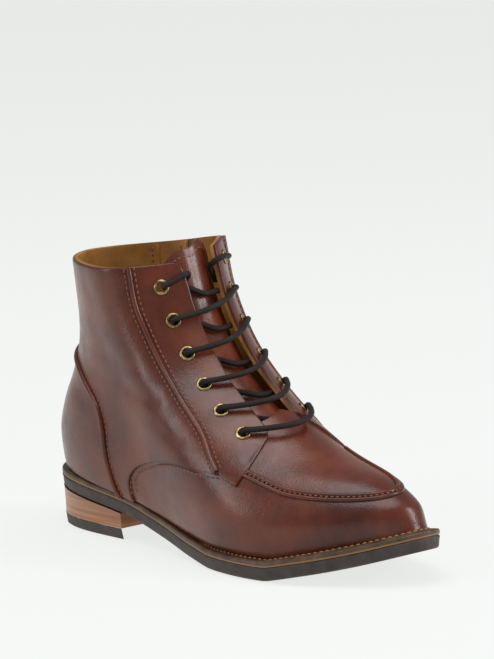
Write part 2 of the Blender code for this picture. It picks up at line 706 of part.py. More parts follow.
def build():
    clean_file()
    group = collection(NAME)
    cutters = collection("cutters")
    shades = {
        "leather": material("brown_leather", (92, 50, 38), 0.35),
        "lining": material("tan_lining", (152, 101, 50), 0.6),
        "sole": material("dark_rubber", (52, 44, 40), 0.65),
        "welt": material("brown_welt", (88, 68, 46), 0.5),
        "stack": material("stacked_leather", (165, 105, 63), 0.5),
        "brass": material("aged_brass", (168, 152, 104), 0.35, 1.0),
        "lace": material("waxed_cord", (46, 38, 36), 0.5),
        "tape": material("woven_tape", (96, 66, 46), 0.8),
    }
    build_sole(group, cutters, shades)
    upper, gap = build_upper(group, cutters, shades)
    quarter, stay = build_panels(group, cutters, shades, gap)
    build_zip(group, cutters, shades, upper)
    walls = {word: (upper, stay[word]) for word in ("lateral", "medial")}
    build_eyelets(group, cutters, shades, walls)
    build_tongue(group, shades)
    build_laces(group, shades)


build()
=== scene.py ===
"""Lace up ankle boot, dressed: leather, lining, stitches, lace, zip and sole, with its studio.

The boot's surface is the same function as in the part's source: a turn in degrees round from
the toe, and a rise from the feather edge (0) to the collar (1). Leather panels are sheets
between two seams, laid on that surface. Sizes are millimetres until a mesh is written.
"""
import math
from collections import namedtuple

import bmesh
import bpy
import numpy as np
from mathutils import Matrix, Vector


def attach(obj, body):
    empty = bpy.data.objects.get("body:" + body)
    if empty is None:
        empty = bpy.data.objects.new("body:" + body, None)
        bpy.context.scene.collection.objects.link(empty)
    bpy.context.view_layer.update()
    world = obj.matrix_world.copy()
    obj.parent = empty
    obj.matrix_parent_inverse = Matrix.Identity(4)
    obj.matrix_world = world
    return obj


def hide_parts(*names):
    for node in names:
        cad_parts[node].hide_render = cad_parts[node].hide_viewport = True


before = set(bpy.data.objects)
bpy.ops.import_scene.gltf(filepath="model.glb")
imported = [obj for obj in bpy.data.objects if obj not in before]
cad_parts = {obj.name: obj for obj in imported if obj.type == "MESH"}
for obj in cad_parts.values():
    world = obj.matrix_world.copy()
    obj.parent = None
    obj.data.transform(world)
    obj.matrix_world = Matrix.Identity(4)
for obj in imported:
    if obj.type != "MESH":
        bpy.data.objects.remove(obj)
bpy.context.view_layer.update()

MM = 0.001

# Driving sizes, in millimetres
LENGTH = 266.0
BACK_X = -30.0
BREAST = 0.26
SWING = 10.0
SWING_FROM = 0.45
SOLE_THICK = 6.9
WELT_THICK = 3.2
WELT_WIDTH = 9.0
LIFT_THICK = 5.9
HEEL_TAPER = 1.2
WALL = 1.8
PANEL_TOP = 1.5
FOOT_GAP = 0.7
TONGUE_THICK = 2.4
TONGUE_DEPTH = 4.3
LACE_RADIUS = 1.5
EYELET_RIM = 4.0
EYELET_HOLE = 2.4
RIM_LIFT = 0.25         # middle of an eyelet's rim above the facing
PUNCH_ROOM = 0.9        # leather cut away beyond the eyelet's hole
SEAT_BAND = 0.14
FULL_SAG = 6.75         # brings a ring's sag to its full value where it is greatest
UPPER_SWING_FROM = 0.4
RIM_STEP = 0.03         # share of the rise, below the collar, that gives the slope above it
INSET_FULL = 15.0       # half width under which the sole's insets shrink
RIM_FLATNESS = 0.7

# Vamp and shaft: rises, and degrees to each side of the middle
VAMP_SIDE_RISE = 0.40
VAMP_FRONT_MORE = 0.20
VAMP_FRONT_HALF = 75
SHAFT_FOOT = 0.38

# Cords in the seams, and the sewn rows beside them
STRIP_CORD = 1.3
STRIP_CORD_LIFT = 0.2
COUNTER_CORD = 1.5
COUNTER_CORD_LIFT = 0.3
RIDGE_LIFT = 0.3
APRON_RIDGES = (("apron_ridge_inner", -1.3, 1.1), ("apron_ridge_outer", 1.3, 1.2))
APRON_STITCH_LIFT = 0.9
STRIP_ROWS = (-2.7, 2.6)
COUNTER_ROW = 3.0
ARCH_ROW = 2.2
WELT_ROW = 4.4          # in from the welt's edge

Sole = namedtuple("Sole", "along lateral medial tread")
SOLE = (
    Sole(0.00, 60.0, 60.0, 21.5),
    Sole(0.06, 50.5, 50.5, 20.0),
    Sole(0.17, 38.5, 39.5, 17.0),
    Sole(0.28, 32.0, 31.5, 13.3),
    Sole(0.40, 31.5, 27.0, 6.7),
    Sole(0.52, 38.0, 31.0, 1.8),
    Sole(0.62, 45.5, 41.0, -0.6),
    Sole(0.72, 50.5, 48.0, -1.0),
    Sole(0.82, 51.5, 49.0, 4.0),
    Sole(0.92, 48.5, 46.5, 10.5),
    Sole(1.00, 43.0, 43.0, 17.0),
)
Ring = namedtuple("Ring", "back_x back_z front_x front_z waist_sag ball_sag "
                          "lat_heel lat_waist lat_ball lat_toe "
                          "med_heel med_waist med_ball med_toe swing drop lift")
RINGS = (
    Ring(-28, 32, 230, 27, 0.0, -17.5, 45, 29.5, 46, 38, 46, 25, 43, 38, 10, 0, 0),
    Ring(-30, 52, 224, 39, -1.5, -14.5, 48, 34.0, 49, 42, 50, 29, 46, 41, 8, 0, 0),
    Ring(-25, 69, 205, 49, -1.0, -11.0, 46, 35.0, 47, 38, 49, 31, 45, 38, 6.5, 0, 0),
    Ring(-18, 84, 174, 57, -1.0, -5.0, 40, 35.0, 43, 33, 44, 33, 42, 33, 4.5, 0, 0),
    Ring(-12, 100, 142, 73, 0.0, -3.0, 35, 34.0, 39, 29, 40, 34, 38, 29, 2.5, 0, 1),
    Ring(-9, 116, 111, 94, 0.5, -1.5, 33, 33.5, 37, 27, 36, 35, 36, 27, 1.5, 1, 3),
    Ring(-8, 132, 90, 120, 1.0, 0.0, 33, 34.0, 37, 27, 35, 36, 36, 27, 0.5, 2, 5),
    Ring(-7, 148, 79, 149, 1.0, 0.0, 34, 36.0, 38, 28, 35, 37, 37, 28, 0.0, 3, 7),
)
WIDTHS_AT = (0.0, 0.38, 0.75, 1.0)

# A leather panel is ruled by rungs from its back edge to its front edge, from its foot upward
Rung = namedtuple("Rung", "back_turn back_rise front_turn front_rise")
QUARTER = (
    Rung(117.0, .014, 111.5, .014), Rung(117.8, .060, 111.3, .060), Rung(118.1, .100, 110.2, .110),
    Rung(118.3, .150, 106.0, .178), Rung(118.5, .200, 100.0, .233), Rung(118.8, .265, 90.0, .299),
    Rung(119.0, .330, 79.5, .337), Rung(120.5, .380, 68.5, .342), Rung(123.0, .420, 62.3, .345),
    Rung(128.5, .460, 61.5, .400), Rung(137.0, .490, 60.0, .450), Rung(150.0, .515, 58.5, .500),
    Rung(165.0, .535, 58.5, .550), Rung(180.0, .545, 58.5, .600), Rung(180.0, .650, 57.5, .700),
    Rung(180.0, .780, 57.5, .800), Rung(180.0, .900, 58.0, .900), Rung(180.0, 1.00, 56.5, 1.00),
)
FACING_LATERAL = (
    Rung(60.0, .300, 59.0, .300), Rung(61.5, .318, 56.5, .326), Rung(62.3, .340, 52.0, .364),
    Rung(62.5, .360, 47.0, .405), Rung(62.0, .385, 40.0, .453), Rung(61.5, .400, 34.0, .487),
    Rung(60.5, .430, 28.8, .514), Rung(59.5, .460, 26.0, .540), Rung(58.5, .500, 25.1, .570),
    Rung(58.5, .550, 24.3, .600), Rung(58.5, .600, 22.9, .650), Rung(58.0, .650, 21.8, .700),
    Rung(57.5, .700, 20.2, .750), Rung(57.5, .750, 19.7, .800), Rung(57.5, .800, 19.2, .850),
    Rung(57.8, .850, 19.3, .900), Rung(58.0, .900, 19.6, .950), Rung(57.3, .955, 21.3, .985),
    Rung(56.5, 1.00, 26.4, 1.00),
)
FACING_MEDIAL = (
    Rung(60.0, .300, 59.0, .300), Rung(61.5, .318, 56.5, .326), Rung(62.3, .340, 52.0, .364),
    Rung(62.5, .360, 47.0, .405), Rung(62.0, .385, 40.0, .453), Rung(61.5, .400, 32.0, .496),
    Rung(60.5, .430, 22.0, .538), Rung(59.5, .460, 16.2, .566), Rung(58.5, .500, 15.8, .580),
    Rung(58.5, .550, 17.2, .600), Rung(58.5, .600, 20.9, .650), Rung(58.0, .650, 22.0, .700),
    Rung(57.5, .700, 23.0, .750), Rung(57.5, .750, 23.8, .800), Rung(57.5, .800, 24.4, .850),
    Rung(57.8, .850, 24.6, .900), Rung(58.0, .900, 24.5, .950), Rung(57.3, .955, 24.5, .980),
    Rung(56.5, 1.00, 25.0, 1.00),
)
# The counter's rungs stand upright, from its side edge to the middle of the heel
COUNTER = (
    Rung(117.0, .014, 119.0, .330), Rung(119.5, .014, 120.5, .380), Rung(123.0, .014, 123.0, .420),
    Rung(129.0, .014, 128.5, .460), Rung(138.0, .014, 137.0, .490), Rung(150.0, .014, 150.0, .515),
    Rung(165.0, .014, 165.0, .535), Rung(180.0, .014, 180.0, .545),
)
FACING_EDGE_ROWS = 13       # rows of a facing, from the top, that border the gap

Seam = namedtuple("Seam", "turn rise")
COUNTER_SEAM = (Seam(180, .545), Seam(165, .535), Seam(150, .515), Seam(137, .49),
                Seam(123, .42), Seam(119, .33), Seam(118.5, .20), Seam(118, .09), Seam(117, .01))
STRIP_SEAM = (Seam(56.5, 1), Seam(58, .9), Seam(57.5, .8), Seam(57.5, .7), Seam(58.5, .6),
              Seam(58.5, .5), Seam(61.5, .4), Seam(62.5, .35))
# As read from the photo; the part's source has this seam's inner leg up to 3 mm away
APRON_SEAM = (Seam(-54, .37), Seam(-50, .336), Seam(-48, .314), Seam(-45.5, .289),
              Seam(-41.5, .27), Seam(-34.5, .249), Seam(-27, .231), Seam(-15, .213),
              Seam(-5, .212), Seam(3, .220), Seam(11, .239), Seam(19, .268), Seam(27, .304),
              Seam(34, .342), Seam(39, .37), Seam(43, .395))
# The inner eyelets stand 4 degrees further round than in the part's source, where the photo
# hides more of them
Eyelet = namedtuple("Eyelet", "rise lateral_turn medial_rise medial_turn")
EYELETS = (
    Eyelet(.940, -39.5, .955, 42),
    Eyelet(.850, -38.5, .875, 42),
    Eyelet(.760, -39.5, .793, 42),
    Eyelet(.670, -41.0, .706, 42),
    Eyelet(.588, -42.5, .626, 41),
    Eyelet(.514, -40.5, .548, 40),
)

# X and Z of the zip's centre line at the collar and near the sole
ZIP_TOP = (29.5, 150.0)
ZIP_FOOT = (46.0, 40.0)
SLOT_HALF = 4.5
NOTCH_HALF = 3.5
NOTCH_DEEP = 3.0

# Camera, as fitted to the photograph
YAW = math.radians(49.987)
PITCH = math.radians(9.13)
ROLL = math.radians(-2.182)
CAMERA_DISTANCE = 1756.46
TARGET_ACROSS = 73.993
TARGET_UP = 101.637
PHOTO_WIDTH_PX = 494
FOCAL_PX = 3275.4
SENSOR_WIDTH = 36.0


# Camera and studio
def studio():
    scene = bpy.context.scene
    right = Vector((math.cos(YAW), math.sin(YAW), 0))
    back = Vector((math.sin(YAW) * math.cos(PITCH), -math.cos(YAW) * math.cos(PITCH),
                   math.sin(PITCH)))
    up = back.cross(right)
    rolled_right = right * math.cos(ROLL) + up * math.sin(ROLL)
    rolled_up = up * math.cos(ROLL) - right * math.sin(ROLL)
    place = right * TARGET_ACROSS + Vector((0, 0, TARGET_UP)) + back * CAMERA_DISTANCE
    lens = bpy.data.cameras.new("photo_camera")
    lens.sensor_fit = "HORIZONTAL"
    lens.sensor_width = SENSOR_WIDTH
    lens.lens = FOCAL_PX * SENSOR_WIDTH / PHOTO_WIDTH_PX
    camera = bpy.data.objects.new("photo_camera", lens)
    scene.collection.objects.link(camera)
    turn = Matrix((rolled_right, rolled_up, back)).transposed().to_4x4()
    camera.matrix_world = Matrix.Translation(place * MM) @ turn
    scene.camera = camera

    world = bpy.data.worlds.new("studio")
    scene.world = world
    world.use_nodes = True
    world.node_tree.nodes["Background"].inputs["Color"].default_value = (*linear("#F4F6F5"), 1)
    world.node_tree.nodes["Background"].inputs["Strength"].default_value = WORLD_LIGHT
    scene.view_settings.view_transform = "Standard"

    bpy.ops.mesh.primitive_plane_add(size=60, location=(0, 0, -FLOOR_DROP * MM))
    floor = bpy.context.object
    floor.name = "floor"
    floor.data.materials.append(floor_paint())
    for row in SOFTBOXES:
        softbox(*row)


WORLD_LIGHT = 0.33
FLOOR_GLOW = 0.86
FLOOR_DROP = 0.4        # below the sole
# name, place (m), aimed at (m), width, height (m), power (W)
SOFTBOXES = (
    ("overhead", (0.3, -0.3, 2.2), (0.1, 0.0, 0.0), 1.6, 1.6, 30),
    ("left_window", (-0.9, -1.9, 0.9), (0.05, 0.0, 0.08), 0.6, 1.5, 12),
    ("right_fill", (1.9, 1.0, 0.9), (0.1, 0.0, 0.05), 0.6, 1.3, 28),
)


def softbox(name, place, aim, width, height, power):
    lamp = bpy.data.lights.new(name, "AREA")
    lamp.shape = "RECTANGLE"
    lamp.size = width
    lamp.size_y = height
    lamp.energy = power
    box = bpy.data.objects.new(name, lamp)
    bpy.context.scene.collection.objects.link(box)
    box.location = place
    box.rotation_euler = (Vector(aim) - Vector(place)).to_track_quat("-Z", "Y").to_euler()


# Materials
def linear(colour):
    """An sRGB hex colour as linear red, green and blue."""
    parts = [int(colour[i:i + 2], 16) / 255 for i in (1, 3, 5)]
    return [p / 12.92 if p < 0.04045 else ((p + 0.055) / 1.055) ** 2.4 for p in parts]


def add(tree, kind, settings=None, values=None, links=None, stops=()):
    """A node with its settings, socket values, incoming links and, on a ramp, its colours."""
    node = tree.nodes.new(kind)
    for key, value in (settings or {}).items():
        setattr(node, key, value)
    for key, value in (values or {}).items():
        node.inputs[key].default_value = value
    for key, source in (links or {}).items():
        tree.links.new(source, node.inputs[key])
    if stops:
        points = node.color_ramp.elements
        for at, _ in stops[2:]:
            points.new(at)
        for point, (at, colour) in zip(points, stops):
            point.position = at
            point.color = (*linear(colour), 1)
    return node


def new_material(name, colour, roughness, **sockets):
    made = bpy.data.materials.new(name)
    made.use_nodes = True
    shader = made.node_tree.nodes["Principled BSDF"]
    shader.inputs["Base Color"].default_value = (*linear(colour), 1)
    shader.inputs["Roughness"].default_value = roughness
    for key, value in sockets.items():
        shader.inputs[key.replace("_", " ")].default_value = value
    made.diffuse_color = (*linear(colour), 1)
    return made, made.node_tree, shader


def per_metre(size_mm):
    """Texture scale at which one cell of the pattern is about this size."""
    return 1 / (size_mm * MM)


def polished_leather(name, dark, mid, light, gloss, grain_depth):
    """Aniline calf, polished: cloudy, and darker beside a panel's edge, partly burnish of the cut edge
    and partly painted shade at the seams.

    Real pores are finer; they are drawn as coarse as they need to show.
    """
    made, tree, shader = new_material(name, mid, gloss, Coat_Weight=0.16, Coat_Roughness=0.18,
                                      Specular_IOR_Level=0.36)
    place = add(tree, "ShaderNodeTexCoord").outputs["Object"]
    cloud = add(tree, "ShaderNodeTexNoise", values={"Scale": per_metre(38), "Detail": 5.0,
                "Roughness": 0.6}, links={"Vector": place})
    tone = add(tree, "ShaderNodeValToRGB", links={"Fac": cloud.outputs["Fac"]},
               stops=((0.32, dark), (0.52, mid), (0.72, light))).outputs["Color"]
    # Darker within 5 mm of a panel's edge: partly the burnished cut edge, partly painted shade where
    # panels meet at their seams
    edge = add(tree, "ShaderNodeAttribute", {"attribute_name": "edge"})
    near = add(tree, "ShaderNodeMapRange", values={"From Min": 0.3, "From Max": 5.0,
               "To Min": 0.45, "To Max": 0.0}, links={"Value": edge.outputs["Fac"]})
    burnish_and_shade = add(tree, "ShaderNodeMix", {"data_type": "RGBA"},
                links={0: near.outputs["Result"], 6: tone})
    burnish_and_shade.inputs[7].default_value = (*linear(dark), 1)
    tree.links.new(burnish_and_shade.outputs[2], shader.inputs["Base Color"])

    pores = add(tree, "ShaderNodeTexVoronoi", {"feature": "SMOOTH_F1"},
                {"Scale": per_metre(0.9), "Randomness": 1.0}, {"Vector": place})
    fine = add(tree, "ShaderNodeTexNoise", values={"Scale": per_metre(0.7), "Detail": 3.0},
               links={"Vector": place})
    soft = add(tree, "ShaderNodeTexNoise", values={"Scale": per_metre(9), "Detail": 3.0},
               links={"Vector": place})
    both = add(tree, "ShaderNodeMath", {"operation": "ADD"},
               links={0: pores.outputs["Distance"], 1: fine.outputs["Fac"]})
    grain = add(tree, "ShaderNodeBump", values={"Strength": grain_depth, "Distance": 0.00012},
                links={"Height": both.outputs[0]})
    waves = add(tree, "ShaderNodeBump", values={"Strength": 0.12, "Distance": 0.0006},
                links={"Height": soft.outputs["Fac"], "Normal": grain.outputs["Normal"]})
    tree.links.new(waves.outputs["Normal"], shader.inputs["Normal"])
    tree.links.new(waves.outputs["Normal"], shader.inputs["Coat Normal"])
    shine = add(tree, "ShaderNodeMapRange", values={"From Min": 0.3, "From Max": 0.7,
                "To Min": gloss - 0.06, "To Max": gloss + 0.08}, links={"Value": soft.outputs["Fac"]})
    tree.links.new(shine.outputs["Result"], shader.inputs["Roughness"])
    return made


def lining_leather():
    """Vegetable tanned pigskin lining: tan, matt, with a fine pebble."""
    made, tree, shader = new_material("tan_lining_leather", "#97662F", 0.55, Specular_IOR_Level=0.35)
    place = add(tree, "ShaderNodeTexCoord").outputs["Object"]
    cloud = add(tree, "ShaderNodeTexNoise", values={"Scale": per_metre(14), "Detail": 4.0},
                links={"Vector": place})
    tone = add(tree, "ShaderNodeValToRGB", links={"Fac": cloud.outputs["Fac"]},
               stops=((0.3, "#835522"), (0.5, "#9B6A2F"), (0.7, "#B17F42"))).outputs["Color"]
    tree.links.new(tone, shader.inputs["Base Color"])
    pebble = add(tree, "ShaderNodeTexVoronoi", values={"Scale": per_metre(0.8)},
                 links={"Vector": place})
    bump = add(tree, "ShaderNodeBump", values={"Strength": 0.25, "Distance": 0.0001},
               links={"Height": pebble.outputs["Distance"]})
    tree.links.new(bump.outputs["Normal"], shader.inputs["Normal"])
    return made


def moulded_rubber():
    """Moulded rubber outsole: near black brown, matt, with scuffed grit."""
    made, tree, shader = new_material("moulded_rubber", "#372E2B", 0.6)
    place = add(tree, "ShaderNodeTexCoord").outputs["Object"]
    cloud = add(tree, "ShaderNodeTexNoise", values={"Scale": per_metre(6), "Detail": 6.0},
                links={"Vector": place})
    tone = add(tree, "ShaderNodeValToRGB", links={"Fac": cloud.outputs["Fac"]},
               stops=((0.3, "#2A2321"), (0.55, "#3A302C"), (0.8, "#4C4039"))).outputs["Color"]
    tree.links.new(tone, shader.inputs["Base Color"])
    grit = add(tree, "ShaderNodeTexNoise", values={"Scale": per_metre(0.8), "Detail": 4.0},
               links={"Vector": place})
    bump = add(tree, "ShaderNodeBump", values={"Strength": 0.5, "Distance": 0.00015},
               links={"Height": grit.outputs["Fac"]})
    tree.links.new(bump.outputs["Normal"], shader.inputs["Normal"])
    return made


def welt_leather():
    """Waxed welt: mid brown, with a paler cut edge at its foot, rubbed lighter in places."""
    made, tree, shader = new_material("waxed_welt_leather", "#6A4A30", 0.45)
    place = add(tree, "ShaderNodeTexCoord").outputs["Object"]
    cloud = add(tree, "ShaderNodeTexNoise", values={"Scale": per_metre(8), "Detail": 5.0},
                links={"Vector": place})
    tone = add(tree, "ShaderNodeValToRGB", links={"Fac": cloud.outputs["Fac"]},
               stops=((0.3, "#33241A"), (0.5, "#4C3727"), (0.72, "#644B36"))).outputs["Color"]
    level = add(tree, "ShaderNodeAttribute", {"attribute_name": "level"})
    foot = add(tree, "ShaderNodeMapRange", values={"From Min": 0.8, "From Max": 1.3,
               "To Min": 0.85, "To Max": 0.0}, links={"Value": level.outputs["Fac"]})
    banded = add(tree, "ShaderNodeMix", {"data_type": "RGBA"},
                 links={0: foot.outputs["Result"], 6: tone})
    banded.inputs[7].default_value = (*linear("#96683A"), 1)
    tree.links.new(banded.outputs[2], shader.inputs["Base Color"])
    fine = add(tree, "ShaderNodeTexNoise", values={"Scale": per_metre(0.9), "Detail": 3.0},
               links={"Vector": place})
    bump = add(tree, "ShaderNodeBump", values={"Strength": 0.4, "Distance": 0.00012},
               links={"Height": fine.outputs["Fac"]})
    tree.links.new(bump.outputs["Normal"], shader.inputs["Normal"])
    return made


def stacked_leather():
    """Burnished stacked heel: thin boards, seen as bands of lighter and darker brown."""
    made, tree, shader = new_material("stacked_heel_leather", "#A5693F", 0.36, Coat_Weight=0.2)
    place = add(tree, "ShaderNodeTexCoord").outputs["Object"]
    stretched = add(tree, "ShaderNodeMapping", values={"Scale": (0.03, 0.03, 1.0)},
                    links={"Vector": place})
    layers = add(tree, "ShaderNodeTexNoise", values={"Scale": per_metre(2.6), "Detail": 4.0,
                 "Roughness": 0.55}, links={"Vector": stretched.outputs["Vector"]})
    tone = add(tree, "ShaderNodeValToRGB", links={"Fac": layers.outputs["Fac"]},
               stops=((0.30, "#63381D"), (0.42, "#85502B"), (0.55, "#9A6238"),
                      (0.68, "#BA8350"))).outputs["Color"]
    tree.links.new(tone, shader.inputs["Base Color"])
    bump = add(tree, "ShaderNodeBump", values={"Strength": 0.3, "Distance": 0.0001},
               links={"Height": layers.outputs["Fac"]})
    tree.links.new(bump.outputs["Normal"], shader.inputs["Normal"])
    return made


def aged_brass():
    """Antiqued brass: dull brown, with patches rubbed bright."""
    made, tree, shader = new_material("antiqued_brass", "#B7A878", 0.34, Metallic=1.0)
    place = add(tree, "ShaderNodeTexCoord").outputs["Object"]
    cloud = add(tree, "ShaderNodeTexNoise", values={"Scale": per_metre(2.2), "Detail": 4.0},
                links={"Vector": place})
    tone = add(tree, "ShaderNodeValToRGB", links={"Fac": cloud.outputs["Fac"]},
               stops=((0.3, "#6E5C38"), (0.5, "#A08D5C"), (0.7, "#CDBE90"))).outputs["Color"]
    tree.links.new(tone, shader.inputs["Base Color"])
    return made


def waxed_cord():
    """Round braided cotton lace, waxed nearly black; its strands are counted over the UV map."""
    made, tree, shader = new_material("waxed_braided_cord", "#221B19", 0.6,
                                      Specular_IOR_Level=0.25)
    place = add(tree, "ShaderNodeTexCoord").outputs["UV"]
    twist = add(tree, "ShaderNodeMapping", values={"Rotation": (0, 0, math.radians(38))},
                links={"Vector": place})
    strands = add(tree, "ShaderNodeTexWave", values={"Scale": 9.0, "Distortion": 0.6,
                  "Detail": 1.0}, links={"Vector": twist.outputs["Vector"]})
    tone = add(tree, "ShaderNodeValToRGB", links={"Fac": strands.outputs["Fac"]},
               stops=((0.2, "#120E0D"), (0.7, "#2A2120"))).outputs["Color"]
    tree.links.new(tone, shader.inputs["Base Color"])
    bump = add(tree, "ShaderNodeBump", values={"Strength": 0.5, "Distance": 0.0002},
               links={"Height": strands.outputs["Fac"]})
    tree.links.new(bump.outputs["Normal"], shader.inputs["Normal"])
    return made


def plain_thread(name, colour):
    """Waxed linen thread."""
    made, _, _ = new_material(name, colour, 0.5)
    return made


def woven_tape():
    """Zip tape: woven cotton, pinkish brown and matt, its weave drawn coarse enough to show."""
    made, tree, shader = new_material("woven_zip_tape", "#7D5A46", 0.85)
    place = add(tree, "ShaderNodeTexCoord").outputs["Object"]
    weave = add(tree, "ShaderNodeTexChecker", values={"Scale": per_metre(0.8),
                "Color1": (*linear("#6A4A38"), 1), "Color2": (*linear("#94705A"), 1)},
                links={"Vector": place})
    tree.links.new(weave.outputs["Color"], shader.inputs["Base Color"])
    bump = add(tree, "ShaderNodeBump", values={"Strength": 0.5, "Distance": 0.0002},
               links={"Height": weave.outputs["Fac"]})
    tree.links.new(bump.outputs["Normal"], shader.inputs["Normal"])
    return made


def floor_paint():
    """Matt white sweep that glows evenly, so that the shadows on it stay weak."""
    made, _, shader = new_material("matt_white_floor", "#6C6E6D", 0.8, Specular_IOR_Level=0.0)
    shader.inputs["Emission Color"].default_value = (*linear("#F1F3F1"), 1)
    shader.inputs["Emission Strength"].default_value = FLOOR_GLOW
    return made


# The boot's surface
def blend(stations, values, at):
    """Smooth curve through a short table: cubic pieces with averaged slopes."""
    xs = np.asarray(stations, float)
    ys = [np.asarray(v, float) for v in values]
    at = np.asarray(at, float)
    spans = np.diff(xs)
    rises = [(ys[i + 1] - ys[i]) / spans[i] for i in range(len(spans))]
    slopes = [rises[0]]
    for i in range(1, len(spans)):
        before, after = spans[i - 1], spans[i]
        slopes.append((rises[i - 1] * after + rises[i] * before) / (before + after))
    slopes.append(rises[-1])
    piece = np.clip(np.searchsorted(xs, at, side="right") - 1, 0, len(spans) - 1)
    result = 0.0
    for i, span in enumerate(spans):
        t = (at - xs[i]) / span
        curve = ((2 * t**3 - 3 * t**2 + 1) * ys[i] + (t**3 - 2 * t**2 + t) * span * slopes[i]
                 + (3 * t**2 - 2 * t**3) * ys[i + 1] + (t**3 - t**2) * span * slopes[i + 1])
        result = np.where(piece == i, curve, result)
    return result


def sole_column(column, along):
    return blend([row.along for row in SOLE], [getattr(row, column) for row in SOLE], along)


def tread(along):
    return np.maximum(sole_column("tread", np.clip(along, 0, 1)), 0.0)


def sole_top_at(x):
    return tread((np.asarray(x, float) - BACK_X) / LENGTH) + SOLE_THICK


def ring_value(column, rise):
    stations = np.linspace(0, 1, len(RINGS))
    return blend(stations, [getattr(row, column) for row in RINGS], rise)


def upper_points(turn, rise):
    """Points on the outside of the upper."""
    angle, rise = np.broadcast_arrays(np.radians(np.asarray(turn, float)), np.asarray(rise, float))
    along = (1 + np.cos(angle)) / 2
    row = {name: ring_value(name, rise) for name in Ring._fields}
    x = row["back_x"] + (row["front_x"] - row["back_x"]) * along
    z = row["back_z"] + (row["front_z"] - row["back_z"]) * along
    z = z + FULL_SAG * (row["waist_sag"] * along * (1 - along) ** 2
                        + row["ball_sag"] * along ** 2 * (1 - along))
    lateral = blend(WIDTHS_AT, [row["lat_heel"], row["lat_waist"], row["lat_ball"], row["lat_toe"]],
                    along)
    medial = blend(WIDTHS_AT, [row["med_heel"], row["med_waist"], row["med_ball"], row["med_toe"]],
                   along)
    inward = np.sin(angle)
    width = np.where(inward >= 0, medial, lateral)
    swing = row["swing"] * np.clip((along - UPPER_SWING_FROM) / (1 - UPPER_SWING_FROM), 0, None) ** 2
    z = z - row["drop"] * np.clip(-inward, 0, None) ** 2
    z = z + 2 * row["lift"] * np.clip(inward, 0, None) * along ** 2
    seat = np.clip(1 - rise / SEAT_BAND, 0, 1) ** 2
    z = z + seat * (sole_top_at(x) + WELT_THICK + FOOT_GAP - z)
    return np.stack([x, swing + width * inward, z], -1)


def upper_normals(turn, rise):
    turn, rise = np.broadcast_arrays(np.asarray(turn, float), np.asarray(rise, float))
    step = 0.004
    low = np.clip(rise - step, 0, 1)
    high = np.clip(rise + step, 0, 1)
    round_way = upper_points(turn + 0.3, rise) - upper_points(turn - 0.3, rise)
    up_way = upper_points(turn, high) - upper_points(turn, low)
    normal = np.cross(round_way, up_way)
    return normal / np.linalg.norm(normal, axis=-1, keepdims=True)


def on_upper(turn, rise, out=0.0):
    """Points a given distance out from the upper; a negative distance is inside it."""
    above = np.clip(np.asarray(rise, float) - 1, 0, None)
    top = upper_points(turn, np.minimum(rise, 1.0))
    slope = (top - upper_points(turn, 1 - RIM_STEP)) / RIM_STEP
    out = np.asarray(out, float)[..., None]
    return top + slope * above[..., None] + upper_normals(turn, np.minimum(rise, 1.0)) * out


def seat_at(turn, rise, out):
    """Place on the upper and its frame: along the ring, across it, outward."""
    place = Vector(on_upper(turn, rise, out))
    outward = Vector(upper_normals(turn, rise))
    along = Vector(upper_points(turn + 0.5, rise) - upper_points(turn - 0.5, rise)).normalized()
    across = outward.cross(along).normalized()
    along = across.cross(outward)
    return place, Matrix((along, across, outward)).transposed()


# Sheets
def deselect():
    if bpy.context.object and bpy.context.object.mode != "OBJECT":
        bpy.ops.object.mode_set(mode="OBJECT")
    bpy.ops.object.select_all(action="DESELECT")


def activate(made):
    deselect()
    made.select_set(True)
    bpy.context.view_layer.objects.active = made


def grid(name, columns, rows):
    """A flat grid with u and v from 0 to 1 at each of its points."""
    deselect()
    bpy.ops.mesh.primitive_grid_add(x_subdivisions=columns, y_subdivisions=rows, size=1)
    made = bpy.context.object
    made.name = name
    count = len(made.data.vertices)
    flat = np.empty(count * 3)
    made.data.vertices.foreach_get("co", flat)
    flat = flat.reshape(-1, 3)
    return made, flat[:, 0] + 0.5, flat[:, 1] + 0.5


def set_points(made, points):
    made.data.vertices.foreach_set("co", (np.asarray(points) * MM).ravel())
    made.data.update()


def mark_points(made, name, values):
    """A number for each point, which a material can read."""
    layer = made.data.attributes.new(name, "FLOAT", "POINT")
    layer.data.foreach_set("value", np.broadcast_to(values, len(made.data.vertices)).copy())


def finish_mesh(made, material, smooth=60):
    """Material and smooth shading, with sharp edges where faces turn by more than the angle."""
    made.data.materials.append(material)
    activate(made)
    bpy.ops.object.shade_smooth_by_angle(angle=math.radians(smooth))


def apply_modifiers(made):
    activate(made)
    for modifier in list(made.modifiers):
        bpy.ops.object.modifier_apply(modifier=modifier.name)


def merge(made, distance):
    activate(made)
    bpy.ops.object.mode_set(mode="EDIT")
    bpy.ops.mesh.select_all(action="SELECT")
    bpy.ops.mesh.remove_doubles(threshold=distance * MM)
    bpy.ops.object.mode_set(mode="OBJECT")


def ruled(rungs, side, across, along):
    """Turn and rise at a share across the rungs and a share along the list of them."""
    marks = np.linspace(0, 1, len(rungs))
    table = np.array([list(r) for r in rungs], float)
    back_turn, back_rise, front_turn, front_rise = (blend(marks, list(column), along)
                                                    for column in table.T)
    turn = back_turn + (front_turn - back_turn) * across
    rise = back_rise + (front_rise - back_rise) * across
    return side * turn, rise


PLAIN = 9.0         # distance from an edge at which leather is no longer darkened by burnish and painted shade
EDGE_ROWS = (0.0, 0.02, 0.25, 0.6, 1.1)     # distances from a panel's edge of its first lines
EDGE_DROP = 0.75    # how far a panel's edge turns down
EDGE_ROUND = 0.98   # just short of a full round, so that no slope is upright
LEAST_SPAN = 8.0    # narrowest width for which the edge lines are worked out
CREASE_POINTS = 12


